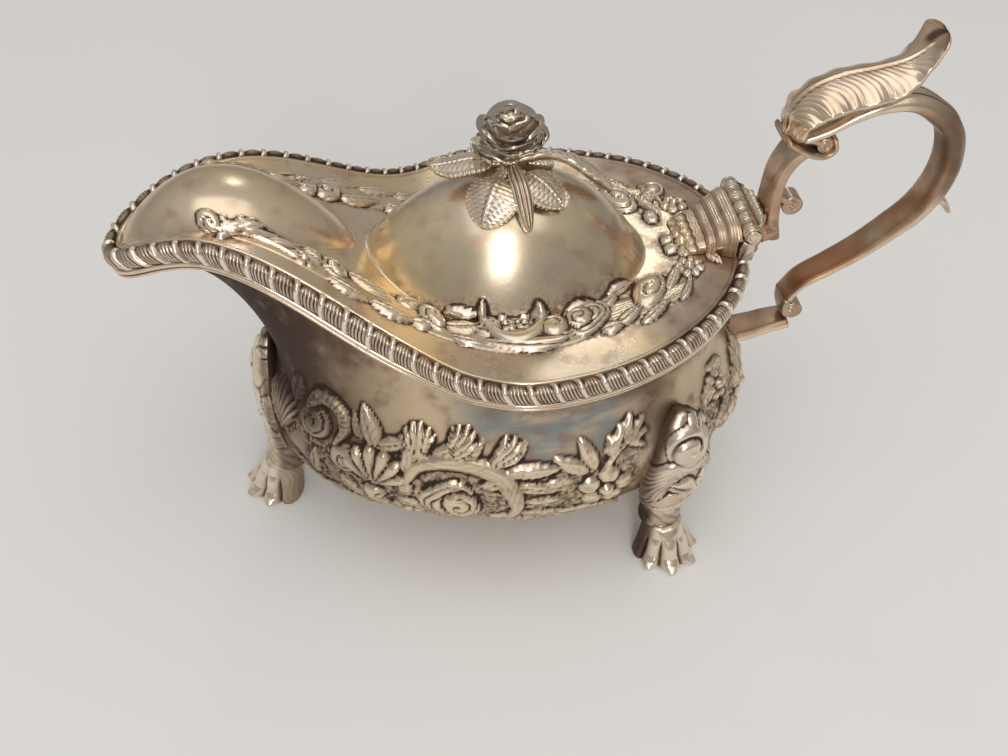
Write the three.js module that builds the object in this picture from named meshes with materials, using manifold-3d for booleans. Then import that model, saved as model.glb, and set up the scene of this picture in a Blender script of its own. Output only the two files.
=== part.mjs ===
// Covered sauce boat in silver: a raised boat on three paw feet, with a hinged lid, a rose finial,
// a gadrooned rim and a leaf-capped scroll handle.
// Millimetres, +Z up, +X towards the handle. The origin lies on the table, under the middle of the length.
import * as THREE from 'three';
import Module from 'manifold-3d';

const wasm = await Module();
wasm.setup();

// Sheet and clearances
const WALL = 0.9;
const LID_SHEET = 0.9;
const SEAT_GAP = 0.3;
const RUNNING_GAP = 0.06;

// Rim of the boat, measured to the outside of the raised wall
const BOAT_LENGTH = 150.5;
const BOAT_WIDTH = 91;
const WIDEST_FROM_TIP = BOAT_LENGTH * 0.605;
const RIM_HEIGHT = 76.5;
const REAR_RISE = 2.5;
const REAR_RISE_LENGTH = BOAT_LENGTH * 0.28;
const SPOUT_RISE = 23.5;
const SPOUT_CREST_FROM_TIP = BOAT_LENGTH * 0.146;
const SPOUT_LENGTH = BOAT_LENGTH * 0.532;
const LIP_DROP = 9.5;
const LIP_WIDTH = BOAT_WIDTH * 0.11;
const SPOUT_WIDTH = BOAT_WIDTH * 0.378;
const SPOUT_WIDTH_FROM_TIP = BOAT_LENGTH * 0.179;
const SHOULDER_WIDTH = BOAT_WIDTH * 0.71;
const SHOULDER_FROM_TIP = BOAT_LENGTH * 0.419;
const SPOUT_HOLLOW = 6.5;

// Wall of the boat below the rim: where each level starts and ends as shares of the length, and its width
// and height as shares of the boat's
const level = (front, rear, width, height) => ({
  front: BOAT_LENGTH * front, rear: BOAT_LENGTH * rear, width: BOAT_WIDTH * width, height: RIM_HEIGHT * height,
});
const NECK = level(0.216, 0.99, 0.923, 0.784);
const BELLY = level(0.196, 1.043, 1.011, 0.523);
const UNDER = level(0.239, 1.013, 0.868, 0.301);
const BASE = level(0.379, 0.87, 0.484, 0.162);
const BASE_MIDDLE_HEIGHT = BASE.height - 1.4;

// Repousse band round the belly, the same on both sides. Each flower, leaf or scroll is a boss: share of the
// way from the spout to the rear, share of the rim's height, half its length and half its height in BOSS_SIZE.
const BAND_RELIEF = 2;
const BOSS_SIZE = BOAT_LENGTH * 0.05;
const BAND_BOSSES = [
  [0.1, 0.6, 0.93, 1.47], [0.21, 0.69, 1.07, 1.13], [0.286, 0.75, 0.53, 0.8], [0.295, 0.6, 1.2, 1.07],
  [0.354, 0.7, 0.67, 0.8], [0.406, 0.72, 1.2, 0.73], [0.466, 0.7, 1.07, 0.67], [0.403, 0.49, 1.01, 1.01],
  [0.461, 0.58, 0.8, 0.67], [0.506, 0.58, 0.93, 1.07], [0.592, 0.49, 1.01, 0.99], [0.556, 0.64, 0.8, 0.8],
  [0.625, 0.67, 1, 1], [0.734, 0.57, 0.87, 0.85], [0.776, 0.65, 0.67, 0.67], [0.817, 0.65, 0.67, 0.67],
  [0.828, 0.51, 0.8, 0.8], [0.894, 0.62, 0.93, 0.8], [0.918, 0.5, 0.67, 0.67], [0.972, 0.47, 0.61, 0.61],
  [0.256, 0.47, 0.93, 0.67], [0.343, 0.45, 0.8, 0.67], [0.546, 0.38, 1.6, 0.4], [0.185, 0.37, 1.87, 0.4],
  [0.782, 0.42, 0.53, 0.8],
];

// Gadrooned border and the reeded moulding under it
const GADROON_PITCH = 5.4;
const GADROON_WIDTH = 3.8;
const GADROON_DEPTH = 4.6;
const GADROON_TOP = 1.7;
const LOBE_RELIEF = 0.22;
const MOULDING_RADIUS = 0.9;
const MOULDING_TUCK = 0.35;

// Lid
const LID_EDGE_GAP = 0.5;
const LID_LINE_START = BOAT_LENGTH * 0.08;
const LID_LINE_END = BOAT_LENGTH * 0.89;
const HOOD_HEIGHT = 7;
const HOOD = { middle: SPOUT_LENGTH * 0.35, length: SPOUT_LENGTH * 0.675, width: SPOUT_WIDTH * 0.7 };
const DOME_HEIGHT = 24.5;
const DOME = { middle: BOAT_LENGTH * 0.615, length: BOAT_LENGTH * 0.458, width: BOAT_WIDTH * 0.527 };
const LID_BAND_RELIEF = 1.5;
const BEZEL_THICKNESS = 0.8;
const BEZEL_DEPTH = 4;
const BEZEL_INSET = 3.2;
const BEZEL_START_FROM_TIP = BOAT_LENGTH * 0.465;

// Wreath on the lid, the same on both sides: share of the way from the spout to the rear, share of the way out
// from the lid's middle line, and size of each flower or leaf in BOSS_SIZE
const WREATH_BOSSES = [
  [0.21, 0.56, 0.7], [0.245, 0.58, 0.6], [0.28, 0.59, 0.5], [0.32, 0.63, 0.6], [0.355, 0.66, 0.5],
  [0.39, 0.68, 0.6], [0.44, 0.59, 0.5], [0.49, 0.6, 0.8], [0.55, 0.59, 0.95], [0.6, 0.6, 0.5],
  [0.646, 0.58, 0.75], [0.69, 0.66, 0.55], [0.71, 0.43, 0.6], [0.745, 0.5, 0.65], [0.79, 0.55, 0.7],
  [0.86, 0.42, 0.7], [0.9, 0.3, 0.6],
];

// Hinge
const KNUCKLE_COUNT = 5;
const KNUCKLE_LENGTH = 4.2;
const KNUCKLE_GAP = 0.3;
const KNUCKLE_RADIUS = 2.2;
const PIN_RADIUS = 1.0;
const PIN_HEAD_RADIUS = 1.8;
const PIN_HEAD_LENGTH = 0.5;
const PIN_BEHIND_RIM = 1.2;
const PIN_ABOVE_RIM = 8;
const LEAF_FRONT_WIDTH = 15;
const LEAF_LENGTH = 13;
const LEAF_STEP = 3;

// Feet: the ankle's place on the table, the way the toes point and how high the knee climbs the wall
const FRONT_FOOT_X = BOAT_LENGTH * 0.21;
const REAR_FOOT_X = BOAT_LENGTH * 0.867;
const REAR_FOOT_Y = BOAT_WIDTH * 0.376;
const FEET = [
  { name: 'front', x: FRONT_FOOT_X, y: 0, toes: 180, kneeTop: RIM_HEIGHT * 0.784 },
  { name: 'rear_near', x: REAR_FOOT_X, y: -REAR_FOOT_Y, toes: -65, kneeTop: RIM_HEIGHT * 0.706 },
  { name: 'rear_far', x: REAR_FOOT_X, y: REAR_FOOT_Y, toes: 65, kneeTop: RIM_HEIGHT * 0.706 },
];
const PAW_HEIGHT = 11.7;
const PAW_HALF_WIDTH = 6.8;
const ANKLE_RADIUS = 5.2;
const ANKLE_FOOT = 3;
const TOE_REACH = 8;
const TOE_LENGTH = 4.4;
const TOE_SPREAD = 32;
const TOE_COUNT = 4;
const KNEE_HALF_WIDTH = 9;
const KNEE_HALF_DEPTH = 5;

// Handle: cast strap, upper neck, lower tail and thumb leaf
const HANDLE_REACH = 52.6;
const STRAP_WIDTH = 10;
const STRAP_THICKNESS = HANDLE_REACH * 0.057;
const STRAP_SWELL = HANDLE_REACH * 0.061;
const NECK_THICKNESS = HANDLE_REACH * 0.076;
const TAIL_THICKNESS = HANDLE_REACH * 0.057;
const LEDGE_WIDTH = STRAP_WIDTH * 1.1;
const LEDGE_THICKNESS = HANDLE_REACH * 0.034;
const VOLUTE_RADIUS = HANDLE_REACH * 0.049;
const LEAF_WIDTH = 17;
const LEAF_THICKNESS = 1.3;
const LEAF_DROP = 4.4;
const SPUR_WIDTH = 4.6;
const SPUR_THICKNESS = 2.4;

// Finial
const STEM_RADIUS = 1.8;
const STEM_HEIGHT = 5;
const ROSE_RADIUS = 7.6;
const ROSE_HEIGHT = 13;
const ROSE_LOBES = 5;
const FINIAL_REACH = 15;
const FINIAL_LEAF_THICKNESS = 0.9;
const BUD_SWELL = 3;
const BUD_THICKNESS = 2;
const TWIG_SWELL = 2.8;
const TWIG_THICKNESS = 1.6;
const LEAF_STALK = 1.5;
const SCREW_RADIUS = 1.2;
const WASHER_RADIUS = 4.2;
const WASHER_THICKNESS = 1.0;
const NUT_RADIUS = 3.2;
const NUT_THICKNESS = 2.4;

// Steps of the faceted surfaces
const ROUND_STEPS = 96;
const WALL_ROWS_PER_LEVEL = 3;
const BAND_ROWS_PER_WALL_ROW = 2;
const LID_ROWS = 8;
const WREATH_ROWS = 14;
const KNUCKLE_SIDES = 16;
const HANDLE_STEPS = 28;

// Longer than any piece, for the boxes that cut, and the volume under which a cut's leftover is a splinter
const BEYOND = 60;
const SPLINTER = 0.01;

const vector = (x, y, z) => new THREE.Vector3(x, y, z);
const HALF_TURN = Math.PI;

// Closed surface through rings of points. Rings joined end to end make a ring-shaped solid. Otherwise the
// first and the last ring are closed by a fan, or need none where they shrink to a line.
function skin(rings, { joined = false, fans = true } = {}) {
  const count = rings[0].length;
  const points = rings.flat().map((p) => p.clone());
  const triangles = [];
  const last = joined ? rings.length : rings.length - 1;
  for (let j = 0; j < last; j++) {
    const lower = j * count;
    const upper = ((j + 1) % rings.length) * count;
    for (let i = 0; i < count; i++) {
      const k = (i + 1) % count;
      triangles.push([lower + i, lower + k, upper + k], [lower + i, upper + k, upper + i]);
    }
  }
  if (!joined && fans) {
    addFan(points, triangles, 0, count, true);
    addFan(points, triangles, (rings.length - 1) * count, count, false);
  }
  return closedGeometry(points, triangles);
}

function addFan(points, triangles, start, count, reversed) {
  const middle = vector(0, 0, 0);
  for (let i = 0; i < count; i++) middle.addScaledVector(points[start + i], 1 / count);
  const centre = points.push(middle) - 1;
  for (let i = 0; i < count; i++) {
    const k = (i + 1) % count;
    triangles.push(reversed ? [centre, start + k, start + i] : [centre, start + i, start + k]);
  }
}

// Merges points that coincide, drops empty triangles and turns the faces outwards.
function closedGeometry(points, triangles) {
  const places = new Map();
  const kept = [];
  const index = points.map((p) => {
    const key = [p.x, p.y, p.z].map((c) => Math.round(c * 2000)).join();
    if (!places.has(key)) places.set(key, kept.push(p) - 1);
    return places.get(key);
  });
  const faces = triangles
    .map((t) => t.map((i) => index[i]))
    .filter(([a, b, c]) => a !== b && b !== c && c !== a);
  let volume = 0;
  for (const [a, b, c] of faces) volume += kept[a].dot(kept[b].clone().cross(kept[c]));
  if (volume < 0) faces.forEach((t) => t.reverse());
  const geometry = new THREE.BufferGeometry();
  geometry.setAttribute('position', new THREE.Float32BufferAttribute(kept.flatMap((p) => p.toArray()), 3));
  geometry.setIndex(faces.flat());
  return geometry;
}

// A closed geometry as a solid that can be joined and cut, and back again.
function toSolid(geometry) {
  const place = geometry.getAttribute('position');
  const points = [];
  for (let i = 0; i < place.count; i++) points.push(new THREE.Vector3().fromBufferAttribute(place, i));
  const order = geometry.index ? Array.from(geometry.index.array) : points.map((_, i) => i);
  const triangles = [];
  for (let i = 0; i < order.length; i += 3) triangles.push(order.slice(i, i + 3));
  const merged = closedGeometry(points, triangles);
  return new wasm.Manifold(new wasm.Mesh({
    numProp: 3,
    vertProperties: merged.getAttribute('position').array,
    triVerts: Uint32Array.from(merged.index.array),
  }));
}

function toGeometry(solid) {
  const mesh = solid.getMesh();
  const geometry = new THREE.BufferGeometry();
  geometry.setAttribute('position', new THREE.Float32BufferAttribute(mesh.vertProperties, 3));
  geometry.setIndex(Array.from(mesh.triVerts));
  return geometry;
}

const join = (...geometries) => toGeometry(geometries.map(toSolid).reduce((a, b) => a.add(b)));
const cut = (geometry, ...tools) => toGeometry(
  withoutSplinters(tools.map(toSolid).reduce((a, b) => a.subtract(b), toSolid(geometry))),
);

// A cut can leave splinters where two faces meet. They are far too small to be made.
function withoutSplinters(solid) {
  const kept = solid.decompose().filter((piece) => piece.volume() > SPLINTER);
  return kept.reduce((a, b) => a.add(b));
}

function box(x0, x1, y0, y1, z0, z1) {
  return new THREE.BoxGeometry(x1 - x0, y1 - y0, z1 - z0)
    .translate((x0 + x1) / 2, (y0 + y1) / 2, (z0 + z1) / 2);
}

// Solid rod along Y.
function rod(radius, length, x, y, z, sides = KNUCKLE_SIDES) {
  return new THREE.CylinderGeometry(radius, radius, length, sides).translate(x, y, z);
}

function ball(x, y, z, rx, ry, rz, turn = 0) {
  return new THREE.SphereGeometry(1, 8, 5)
    .rotateX(HALF_TURN / 2).scale(rx, ry, rz).rotateZ(turn).translate(x, y, z);
}

// Rim of the boat
const REAR_STEPS = [0.22, 0.45, 0.68, 0.86];

function halfOutline() {
  const rearLength = BOAT_LENGTH - WIDEST_FROM_TIP;
  const points = [
    [0, 0],
    [LIP_WIDTH * 0.2, LIP_WIDTH / 2],
    [SPOUT_WIDTH_FROM_TIP, SPOUT_WIDTH / 2],
    [SHOULDER_FROM_TIP, SHOULDER_WIDTH / 2],
    [(SHOULDER_FROM_TIP + WIDEST_FROM_TIP * 1.6) / 2.6, SHOULDER_WIDTH * 0.13 + BOAT_WIDTH * 0.372],
    [WIDEST_FROM_TIP, BOAT_WIDTH / 2],
  ];
  for (const step of REAR_STEPS) {
    const turn = step * HALF_TURN / 2;
    points.push([WIDEST_FROM_TIP + rearLength * Math.sin(turn), BOAT_WIDTH / 2 * Math.cos(turn)]);
  }
  points.push([BOAT_LENGTH, 0]);
  return points;
}

function outlineCurve() {
  const side = halfOutline();
  const near = side.map(([x, y]) => vector(x, -y, 0));
  const far = side.slice(1, -1).reverse().map(([x, y]) => vector(x, y, 0));
  const curve = new THREE.CatmullRomCurve3([...near, ...far], true, 'centripetal');
  curve.arcLengthDivisions = 1600;
  return curve;
}

const OUTLINE = outlineCurve();
const OUTLINE_LENGTH = OUTLINE.getLength();

const smooth = (t) => {
  const c = Math.min(Math.max(t, 0), 1);
  return c * c * (3 - 2 * c);
};

// Height of the rim at a distance x from the tip: level, rising over the spout and dropping at its lip.
function rimHeight(x) {
  const fall = SPOUT_LENGTH - SPOUT_CREST_FROM_TIP;
  const along = Math.min(Math.max((x - SPOUT_CREST_FROM_TIP) / fall, 0), 1);
  const spout = SPOUT_RISE * 0.5 * (1 + Math.cos(HALF_TURN * along));
  const lip = LIP_DROP * Math.pow(Math.max((SPOUT_CREST_FROM_TIP - x) / SPOUT_CREST_FROM_TIP, 0), 1.8);
  const rear = REAR_RISE * smooth((x - BOAT_LENGTH + REAR_RISE_LENGTH) / REAR_RISE_LENGTH);
  return RIM_HEIGHT + spout - lip + rear;
}

// Point on the rim at a share t of the way round from the tip, moved outwards and upwards.
// The near side comes first. The far side mirrors it.
function rimPoint(t, outwards = 0, upwards = 0) {
  const { place, way, up } = rimFrame(t);
  const point = place.clone().addScaledVector(way, outwards);
  return point.setZ(rimHeight(point.x)).addScaledVector(up, upwards);
}

// Place on the rim with its level outward direction and the direction square to both rim and outward.
function rimFrame(t) {
  const share = t <= 0.5 ? t : 1 - t;
  const side = t <= 0.5 ? 1 : -1;
  const p = OUTLINE.getPointAt(share);
  const along = OUTLINE.getTangentAt(share);
  const way = vector(along.y, -along.x, 0).normalize();
  if (share === 0) way.set(-1, 0, 0);
  if (share === 0.5) way.set(1, 0, 0);
  const slope = (rimHeight(p.x + 0.5) - rimHeight(p.x - 0.5)) * along.x;
  const up = vector(-along.x * slope, -along.y * slope, 1).normalize();
  return {
    place: vector(p.x, p.y * side, rimHeight(p.x)),
    way: vector(way.x, way.y * side, 0),
    up: vector(up.x, up.y * side, up.z),
  };
}

// How far the top row of the wall moves outwards for each millimetre below the rim.
function wallLean(t) {
  const { way, up } = rimFrame(t);
  const down = wallLine(t).getPoint(1 / WALL_STEPS).sub(rimPoint(t));
  return -down.dot(way) / down.dot(up);
}

// Wall of the boat
function levelPoint(level, t) {
  const turn = 2 * HALF_TURN * t;
  const reach = (level.rear - level.front) / 2;
  return vector(
    (level.front + level.rear) / 2 - reach * Math.cos(turn),
    -level.width / 2 * Math.sin(turn),
    level.height,
  );
}

const LEVELS = [NECK, BELLY, UNDER, BASE];
const WALL_STEPS = (LEVELS.length + 1) * WALL_ROWS_PER_LEVEL;

// Halfway between rim and neck the wall is drawn in and up under the spout.
function throatPoint(t) {
  const { place, way } = rimFrame(t);
  const hollow = SPOUT_HOLLOW * smooth(1 - place.x / SPOUT_LENGTH);
  return place.lerp(levelPoint(NECK, t), 0.5)
    .addScaledVector(way, -0.7 * hollow)
    .add(vector(0, 0, 0.7 * hollow));
}

function wallLine(t) {
  const middle = vector((BASE.front + BASE.rear) / 2, 0, BASE_MIDDLE_HEIGHT);
  const points = [rimPoint(t), throatPoint(t), ...LEVELS.map((level) => levelPoint(level, t)), middle];
  return new THREE.CatmullRomCurve3(points, false, 'centripetal');
}

// Outward direction of the wall at a share t round and a share s down from the rim.
function wallNormal(t, s) {
  const step = 0.004;
  const line = wallLine(t);
  const down = line.getPoint(Math.min(s + step, 1)).sub(line.getPoint(Math.max(s - step, 0)));
  const round = wallLine((t + step) % 1).getPoint(s).sub(wallLine((t + 1 - step) % 1).getPoint(s));
  return down.cross(round).normalize();
}

// Height of the chased relief over the wall: flowers, leaves and scrolls as smooth bosses, with plain wall
// left under the knees and the handle's tail.
function bandRelief(t, z) {
  const p = levelPoint(BELLY, t);
  const clearOf = (x, y, reach) => smooth((Math.hypot(p.x - x, p.y - y) - reach) / 2);
  const clear = Math.min(
    ...FEET.map((foot) => clearOf(foot.x, foot.y, KNEE_HALF_WIDTH * 1.4)),
    clearOf(BELLY.rear, 0, STRAP_WIDTH * 0.9),
  );
  const rises = BAND_BOSSES.map(([along, high, long, tall]) => {
    const middle = levelPoint(BELLY, t < 0.5 ? along / 2 : 1 - along / 2);
    const across = Math.hypot(p.x - middle.x, p.y - middle.y) / (long * BOSS_SIZE);
    const up = (z - RIM_HEIGHT * high) / (tall * BOSS_SIZE);
    return Math.pow(Math.max(1 - across * across - up * up, 0), 0.6);
  });
  return BAND_RELIEF * clear * Math.max(...rises);
}

// Ring of points round the wall at a share s down from the rim, moved outwards.
function wallRing(s, outwards, relief = false) {
  const ring = [];
  for (let i = 0; i < ROUND_STEPS; i++) {
    const t = i / ROUND_STEPS;
    const p = wallLine(t).getPoint(s);
    const raise = relief ? bandRelief(t, p.z) : 0;
    ring.push(p.addScaledVector(wallNormal(t, s), outwards + raise));
  }
  return ring;
}

const wallShares = (rows) => Array.from({ length: rows }, (_, j) => j / rows);
const OUTSIDE_ROWS = WALL_STEPS * BAND_ROWS_PER_WALL_ROW;

function boatBody() {
  const outside = wallShares(OUTSIDE_ROWS).map((s) => wallRing(s, 0, true));
  const inside = wallShares(WALL_STEPS).map((s) => levelRing(wallRing(s, -WALL), s));
  return skin([...outside.reverse(), ...inside]);
}

// The rim's top edge is flat: the inside ring there lies level with the outside one.
function levelRing(ring, s) {
  if (s > 0) return ring;
  return ring.map((_, i) => rimPoint(i / ROUND_STEPS, -WALL));
}

// Solid of the whole boat, a little larger, that cuts what is seated on the wall.
function boatEnvelope(gap) {
  return skin(wallShares(OUTSIDE_ROWS).map((s) => wallRing(s, gap)));
}

// Gadrooned border, open at the hinge
function hingeShare() {
  const halfBarrel = barrelLength() / 2 + 1.2;
  let share = 0.5;
  while (-rimPoint(share).y < halfBarrel) share -= 0.0005;
  return share;
}

const barrelLength = () => KNUCKLE_COUNT * KNUCKLE_LENGTH + (KNUCKLE_COUNT - 1) * KNUCKLE_GAP;

function gadroonSection(t, swell) {
  const w = GADROON_WIDTH;
  const d = GADROON_DEPTH;
  const lean = Math.max(wallLean(t), 0);
  const corners = [
    [SEAT_GAP, -d + GADROON_TOP],
    [SEAT_GAP, GADROON_TOP],
    [w * 0.35, GADROON_TOP + 0.2 * swell],
    [w * (0.72 + 0.3 * swell), GADROON_TOP * (0.3 + 0.6 * swell)],
    [w * (0.88 + 0.5 * swell), -d * 0.3],
    [w * 0.75, -d + GADROON_TOP],
  ];
  return corners.map(([out, up]) => rimPoint(t, out + lean * (GADROON_TOP - up), up));
}

function rimGadroon() {
  const end = hingeShare();
  const lobes = Math.round(2 * end * OUTLINE_LENGTH / GADROON_PITCH);
  const rings = [];
  for (let i = 0; i <= lobes * 2; i++) {
    const t = (end * (i - lobes) / lobes + 1) % 1;
    rings.push(gadroonSection(t, i % 2 === 0 ? -LOBE_RELIEF : LOBE_RELIEF));
  }
  return cut(skin(rings), boatEnvelope(SEAT_GAP));
}

// Wire moulding that runs right round the wall just under the border. Where the spout falls away
// quickly it hangs under the border and lets the wall go.
function rimMoulding() {
  const drop = GADROON_DEPTH - GADROON_TOP + SEAT_GAP + MOULDING_RADIUS;
  const rings = [];
  for (let i = 0; i < ROUND_STEPS; i++) {
    const t = i / ROUND_STEPS;
    const lean = Math.max(wallLean(t), -MOULDING_TUCK);
    const out = lean * drop + (MOULDING_RADIUS + 2 * SEAT_GAP) * Math.hypot(lean, 1);
    rings.push([0, 1, 2, 3, 4, 5].map((k) => rimPoint(
      t,
      out + MOULDING_RADIUS * Math.cos(k * HALF_TURN / 3),
      -drop + MOULDING_RADIUS * Math.sin(k * HALF_TURN / 3),
    )));
  }
  return skin(rings, { joined: true });
}

// Lid
const swellOf = (shape, x, y) => Math.hypot((x - shape.middle) * 2 / shape.length, y * 2 / shape.width);

// Place on the lid, in plan, for a share t round and a share of the way out from the middle line.
function lidPlace(t, share) {
  const edge = rimPoint(t, SEAT_GAP - LID_EDGE_GAP);
  const start = Math.min(Math.max(edge.x, LID_LINE_START), LID_LINE_END);
  return [start + (edge.x - start) * share, edge.y * share];
}

const WREATH_PLACES = WREATH_BOSSES.flatMap(([along, share, size]) => [along / 2, 1 - along / 2]
  .map((t) => [...lidPlace(t, share), size * BOSS_SIZE]));

// Height of the wreath over the lid: each flower or leaf is a smooth boss.
function lidBand(x, y) {
  const rises = WREATH_PLACES.map(([bossX, bossY, size]) => {
    const far = Math.hypot(x - bossX, y - bossY) / size;
    return Math.pow(Math.max(1 - far * far, 0), 0.6);
  });
  return LID_BAND_RELIEF * Math.max(...rises);
}

// Height of the lid's top face: the flat border follows the rim, with a hood over the spout and a dome.
function lidHeight(x, y) {
  const dome = DOME_HEIGHT * Math.max(1 - Math.pow(swellOf(DOME, x, y), 2.6), 0);
  const hood = HOOD_HEIGHT * Math.pow(Math.max(1 - Math.pow(swellOf(HOOD, x, y), 2.4), 0), 0.7);
  return rimHeight(x) + SEAT_GAP + LID_SHEET + dome + hood;
}

// A ring of lid points at a share of the way from the middle line to the edge.
function lidRing(share, below) {
  const ring = [];
  for (let i = 0; i < ROUND_STEPS; i++) {
    const [x, y] = lidPlace(i / ROUND_STEPS, share);
    ring.push(vector(x, y, lidHeight(x, y) + (below ? -LID_SHEET : lidBand(x, y))));
  }
  return ring;
}

const lidShares = (rows) => Array.from({ length: rows + 1 }, (_, j) => j / rows);

function lidPlate() {
  const top = lidShares(WREATH_ROWS).map((share) => lidRing(share, false));
  const bottom = lidShares(LID_ROWS).map((share) => lidRing(share, true)).reverse();
  const plate = skin([...top, ...bottom], { fans: false });
  const reach = barrelLength() / 2 + 2 * SEAT_GAP;
  const notch = box(bracketFront() - SEAT_GAP, BOAT_LENGTH + BEYOND, -reach, reach, 0, RIM_HEIGHT + BEYOND);
  const bore = new THREE.CylinderGeometry(SCREW_RADIUS + 0.2, SCREW_RADIUS + 0.2, 3 * LID_SHEET, 12)
    .rotateX(HALF_TURN / 2).translate(DOME.middle, 0, domeTop());
  return cut(plate, notch, bore);
}

// Strip under the lid that drops inside the rim and keeps the lid in place.
function lidBezel() {
  const rings = [];
  let start = 0;
  while (rimPoint(start).x < BEZEL_START_FROM_TIP) start += 0.001;
  const steps = 48;
  for (let i = 0; i <= steps; i++) {
    const t = start + (1 - 2 * start) * i / steps;
    const corner = (out, up) => rimPoint(t, -out, up);
    const inner = BEZEL_INSET + BEZEL_THICKNESS;
    rings.push([
      corner(BEZEL_INSET, -BEZEL_DEPTH), corner(BEZEL_INSET, 0),
      corner(inner, 0), corner(inner, -BEZEL_DEPTH),
    ]);
  }
  return skin(rings);
}

// Hinge
const pinX = () => BOAT_LENGTH + PIN_BEHIND_RIM;
const pinZ = () => rimHeight(BOAT_LENGTH) + PIN_ABOVE_RIM;
const coveRadius = () => KNUCKLE_RADIUS + SEAT_GAP;
const bracketFront = () => BOAT_LENGTH - WALL - 2 * SEAT_GAP;
const bracketRear = () => pinX() + 5;
const domeTop = () => lidHeight(DOME.middle, 0);

function knuckle(index) {
  const bore = (PIN_RADIUS + RUNNING_GAP) / Math.cos(HALF_TURN / KNUCKLE_SIDES);
  const low = -barrelLength() / 2 + index * (KNUCKLE_LENGTH + KNUCKLE_GAP);
  const profile = [
    [bore, 0], [KNUCKLE_RADIUS, 0], [KNUCKLE_RADIUS, KNUCKLE_LENGTH], [bore, KNUCKLE_LENGTH], [bore, 0],
  ].map(([r, y]) => new THREE.Vector2(r, y));
  return toGeometry(toSolid(new THREE.LatheGeometry(profile, KNUCKLE_SIDES))).translate(pinX(), low, pinZ());
}

function hingePin() {
  const reach = barrelLength() / 2 + KNUCKLE_GAP;
  const shaft = rod(PIN_RADIUS, 2 * reach + PIN_HEAD_LENGTH, pinX(), 0, pinZ());
  const headPlace = reach + PIN_HEAD_LENGTH / 2;
  const head = (side) => rod(PIN_HEAD_RADIUS, PIN_HEAD_LENGTH, pinX(), side * headPlace, pinZ());
  return join(shaft, head(-1), head(1));
}

// Extrudes a plan outline upwards.
function slab(points, z0, z1) {
  const shape = new THREE.Shape(points.map(([x, y]) => new THREE.Vector2(x, y)));
  return new THREE.ExtrudeGeometry(shape, { depth: z1 - z0, bevelEnabled: false }).translate(0, 0, z0);
}

// Fan-shaped bracket behind the rim that holds the fixed knuckles and carries the handle's neck.
function hingeBracket() {
  const wide = barrelLength() / 2;
  const narrow = STRAP_WIDTH / 2 + 0.5;
  const front = bracketFront();
  const plan = [
    [front, -wide], [pinX() + 1, -wide], [pinX() + 3, -wide * 0.75], [bracketRear(), -narrow],
    [bracketRear(), narrow], [pinX() + 3, wide * 0.75], [pinX() + 1, wide], [front, wide],
  ];
  const base = rimHeight(BOAT_LENGTH) + SEAT_GAP;
  const block = slab(plan, base, pinZ() + KNUCKLE_RADIUS * 0.8);
  const cove = rod(coveRadius(), barrelLength() + 2, pinX(), 0, pinZ());
  const step = pinZ() - coveRadius() - 0.6;
  const clear = box(front - 1, pinX() - 0.2, -BEYOND, BEYOND, step, pinZ() + BEYOND);
  return cut(block, cove, clear, boatEnvelope(SEAT_GAP));
}

// Stepped leaf on the lid that carries the moving knuckles.
function hingeLeaf() {
  const front = bracketFront() - SEAT_GAP * 2 - LEAF_LENGTH;
  const top = pinZ() + KNUCKLE_RADIUS * 0.55;
  const low = lidHeight(front, 0) - LEAF_STEP;
  const wide = barrelLength() / 2;
  const wedge = toSolid(leafWedge(front, low, top));
  const shaped = toGeometry(wedge.intersect(toSolid(leafFlare(front, low, top))));
  const cove = rod(coveRadius(), 2 * wide + 2, pinX(), 0, pinZ());
  const under = pinZ() - KNUCKLE_RADIUS * 0.7;
  const behind = box(bracketFront() - 2 * SEAT_GAP, BOAT_LENGTH + BEYOND, -BEYOND, BEYOND, low - 1, under);
  const stop = pinX() - KNUCKLE_RADIUS * 0.55;
  const rearSide = box(stop, BOAT_LENGTH + BEYOND, -BEYOND, BEYOND, low - 1, top + 1);
  return cut(shaped, lidUnderlay(), cove, behind, rearSide);
}

// The hinge leaf seen from the side: two steps at the front, then a slope up to the barrel.
function leafWedge(front, low, top) {
  const rear = pinX();
  const lid = lidHeight(front, 0);
  const step = LEAF_STEP;
  const outline = [
    [front, low], [rear, low], [rear, top], [rear - step * 1.3, top], [rear - step * 1.5, top - step * 0.3],
    [front + step * 1.5, lid + step * 0.9], [front + step * 1.3, lid + step * 0.6],
    [front + step * 0.6, lid + step * 0.5], [front + step * 0.45, lid + step * 0.33],
    [front, lid + step * 0.3],
  ];
  const shape = new THREE.Shape(outline.map(([x, z]) => new THREE.Vector2(x, z)));
  return new THREE.ExtrudeGeometry(shape, { depth: barrelLength(), bevelEnabled: false })
    .rotateX(HALF_TURN / 2).translate(0, barrelLength() / 2, 0);
}

// The hinge leaf seen from above: it widens from its front edge to the length of the barrel.
function leafFlare(front, low, top) {
  const rear = pinX();
  const wide = barrelLength() / 2;
  const narrow = LEAF_FRONT_WIDTH / 2;
  const middle = front + LEAF_LENGTH / 2;
  return slab([
    [front - 1, -narrow], [middle, -narrow - 0.6], [rear - 1, -wide], [rear + 1, -wide],
    [rear + 1, wide], [rear - 1, wide], [middle, narrow + 0.6], [front - 1, narrow],
  ], low - 1, top + 1);
}

// Everything below the lid's top face, plus a gap, as a cutting solid.
function lidUnderlay() {
  const shares = lidShares(WREATH_ROWS);
  const raised = (ring) => ring.map((p) => p.setZ(p.z + SEAT_GAP));
  const top = shares.map((share) => raised(lidRing(share, false)));
  const floor = shares.map((share) => lidRing(share, true).map((p) => p.setZ(RIM_HEIGHT - 12))).reverse();
  return skin([...top, ...floor], { fans: false });
}

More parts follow.
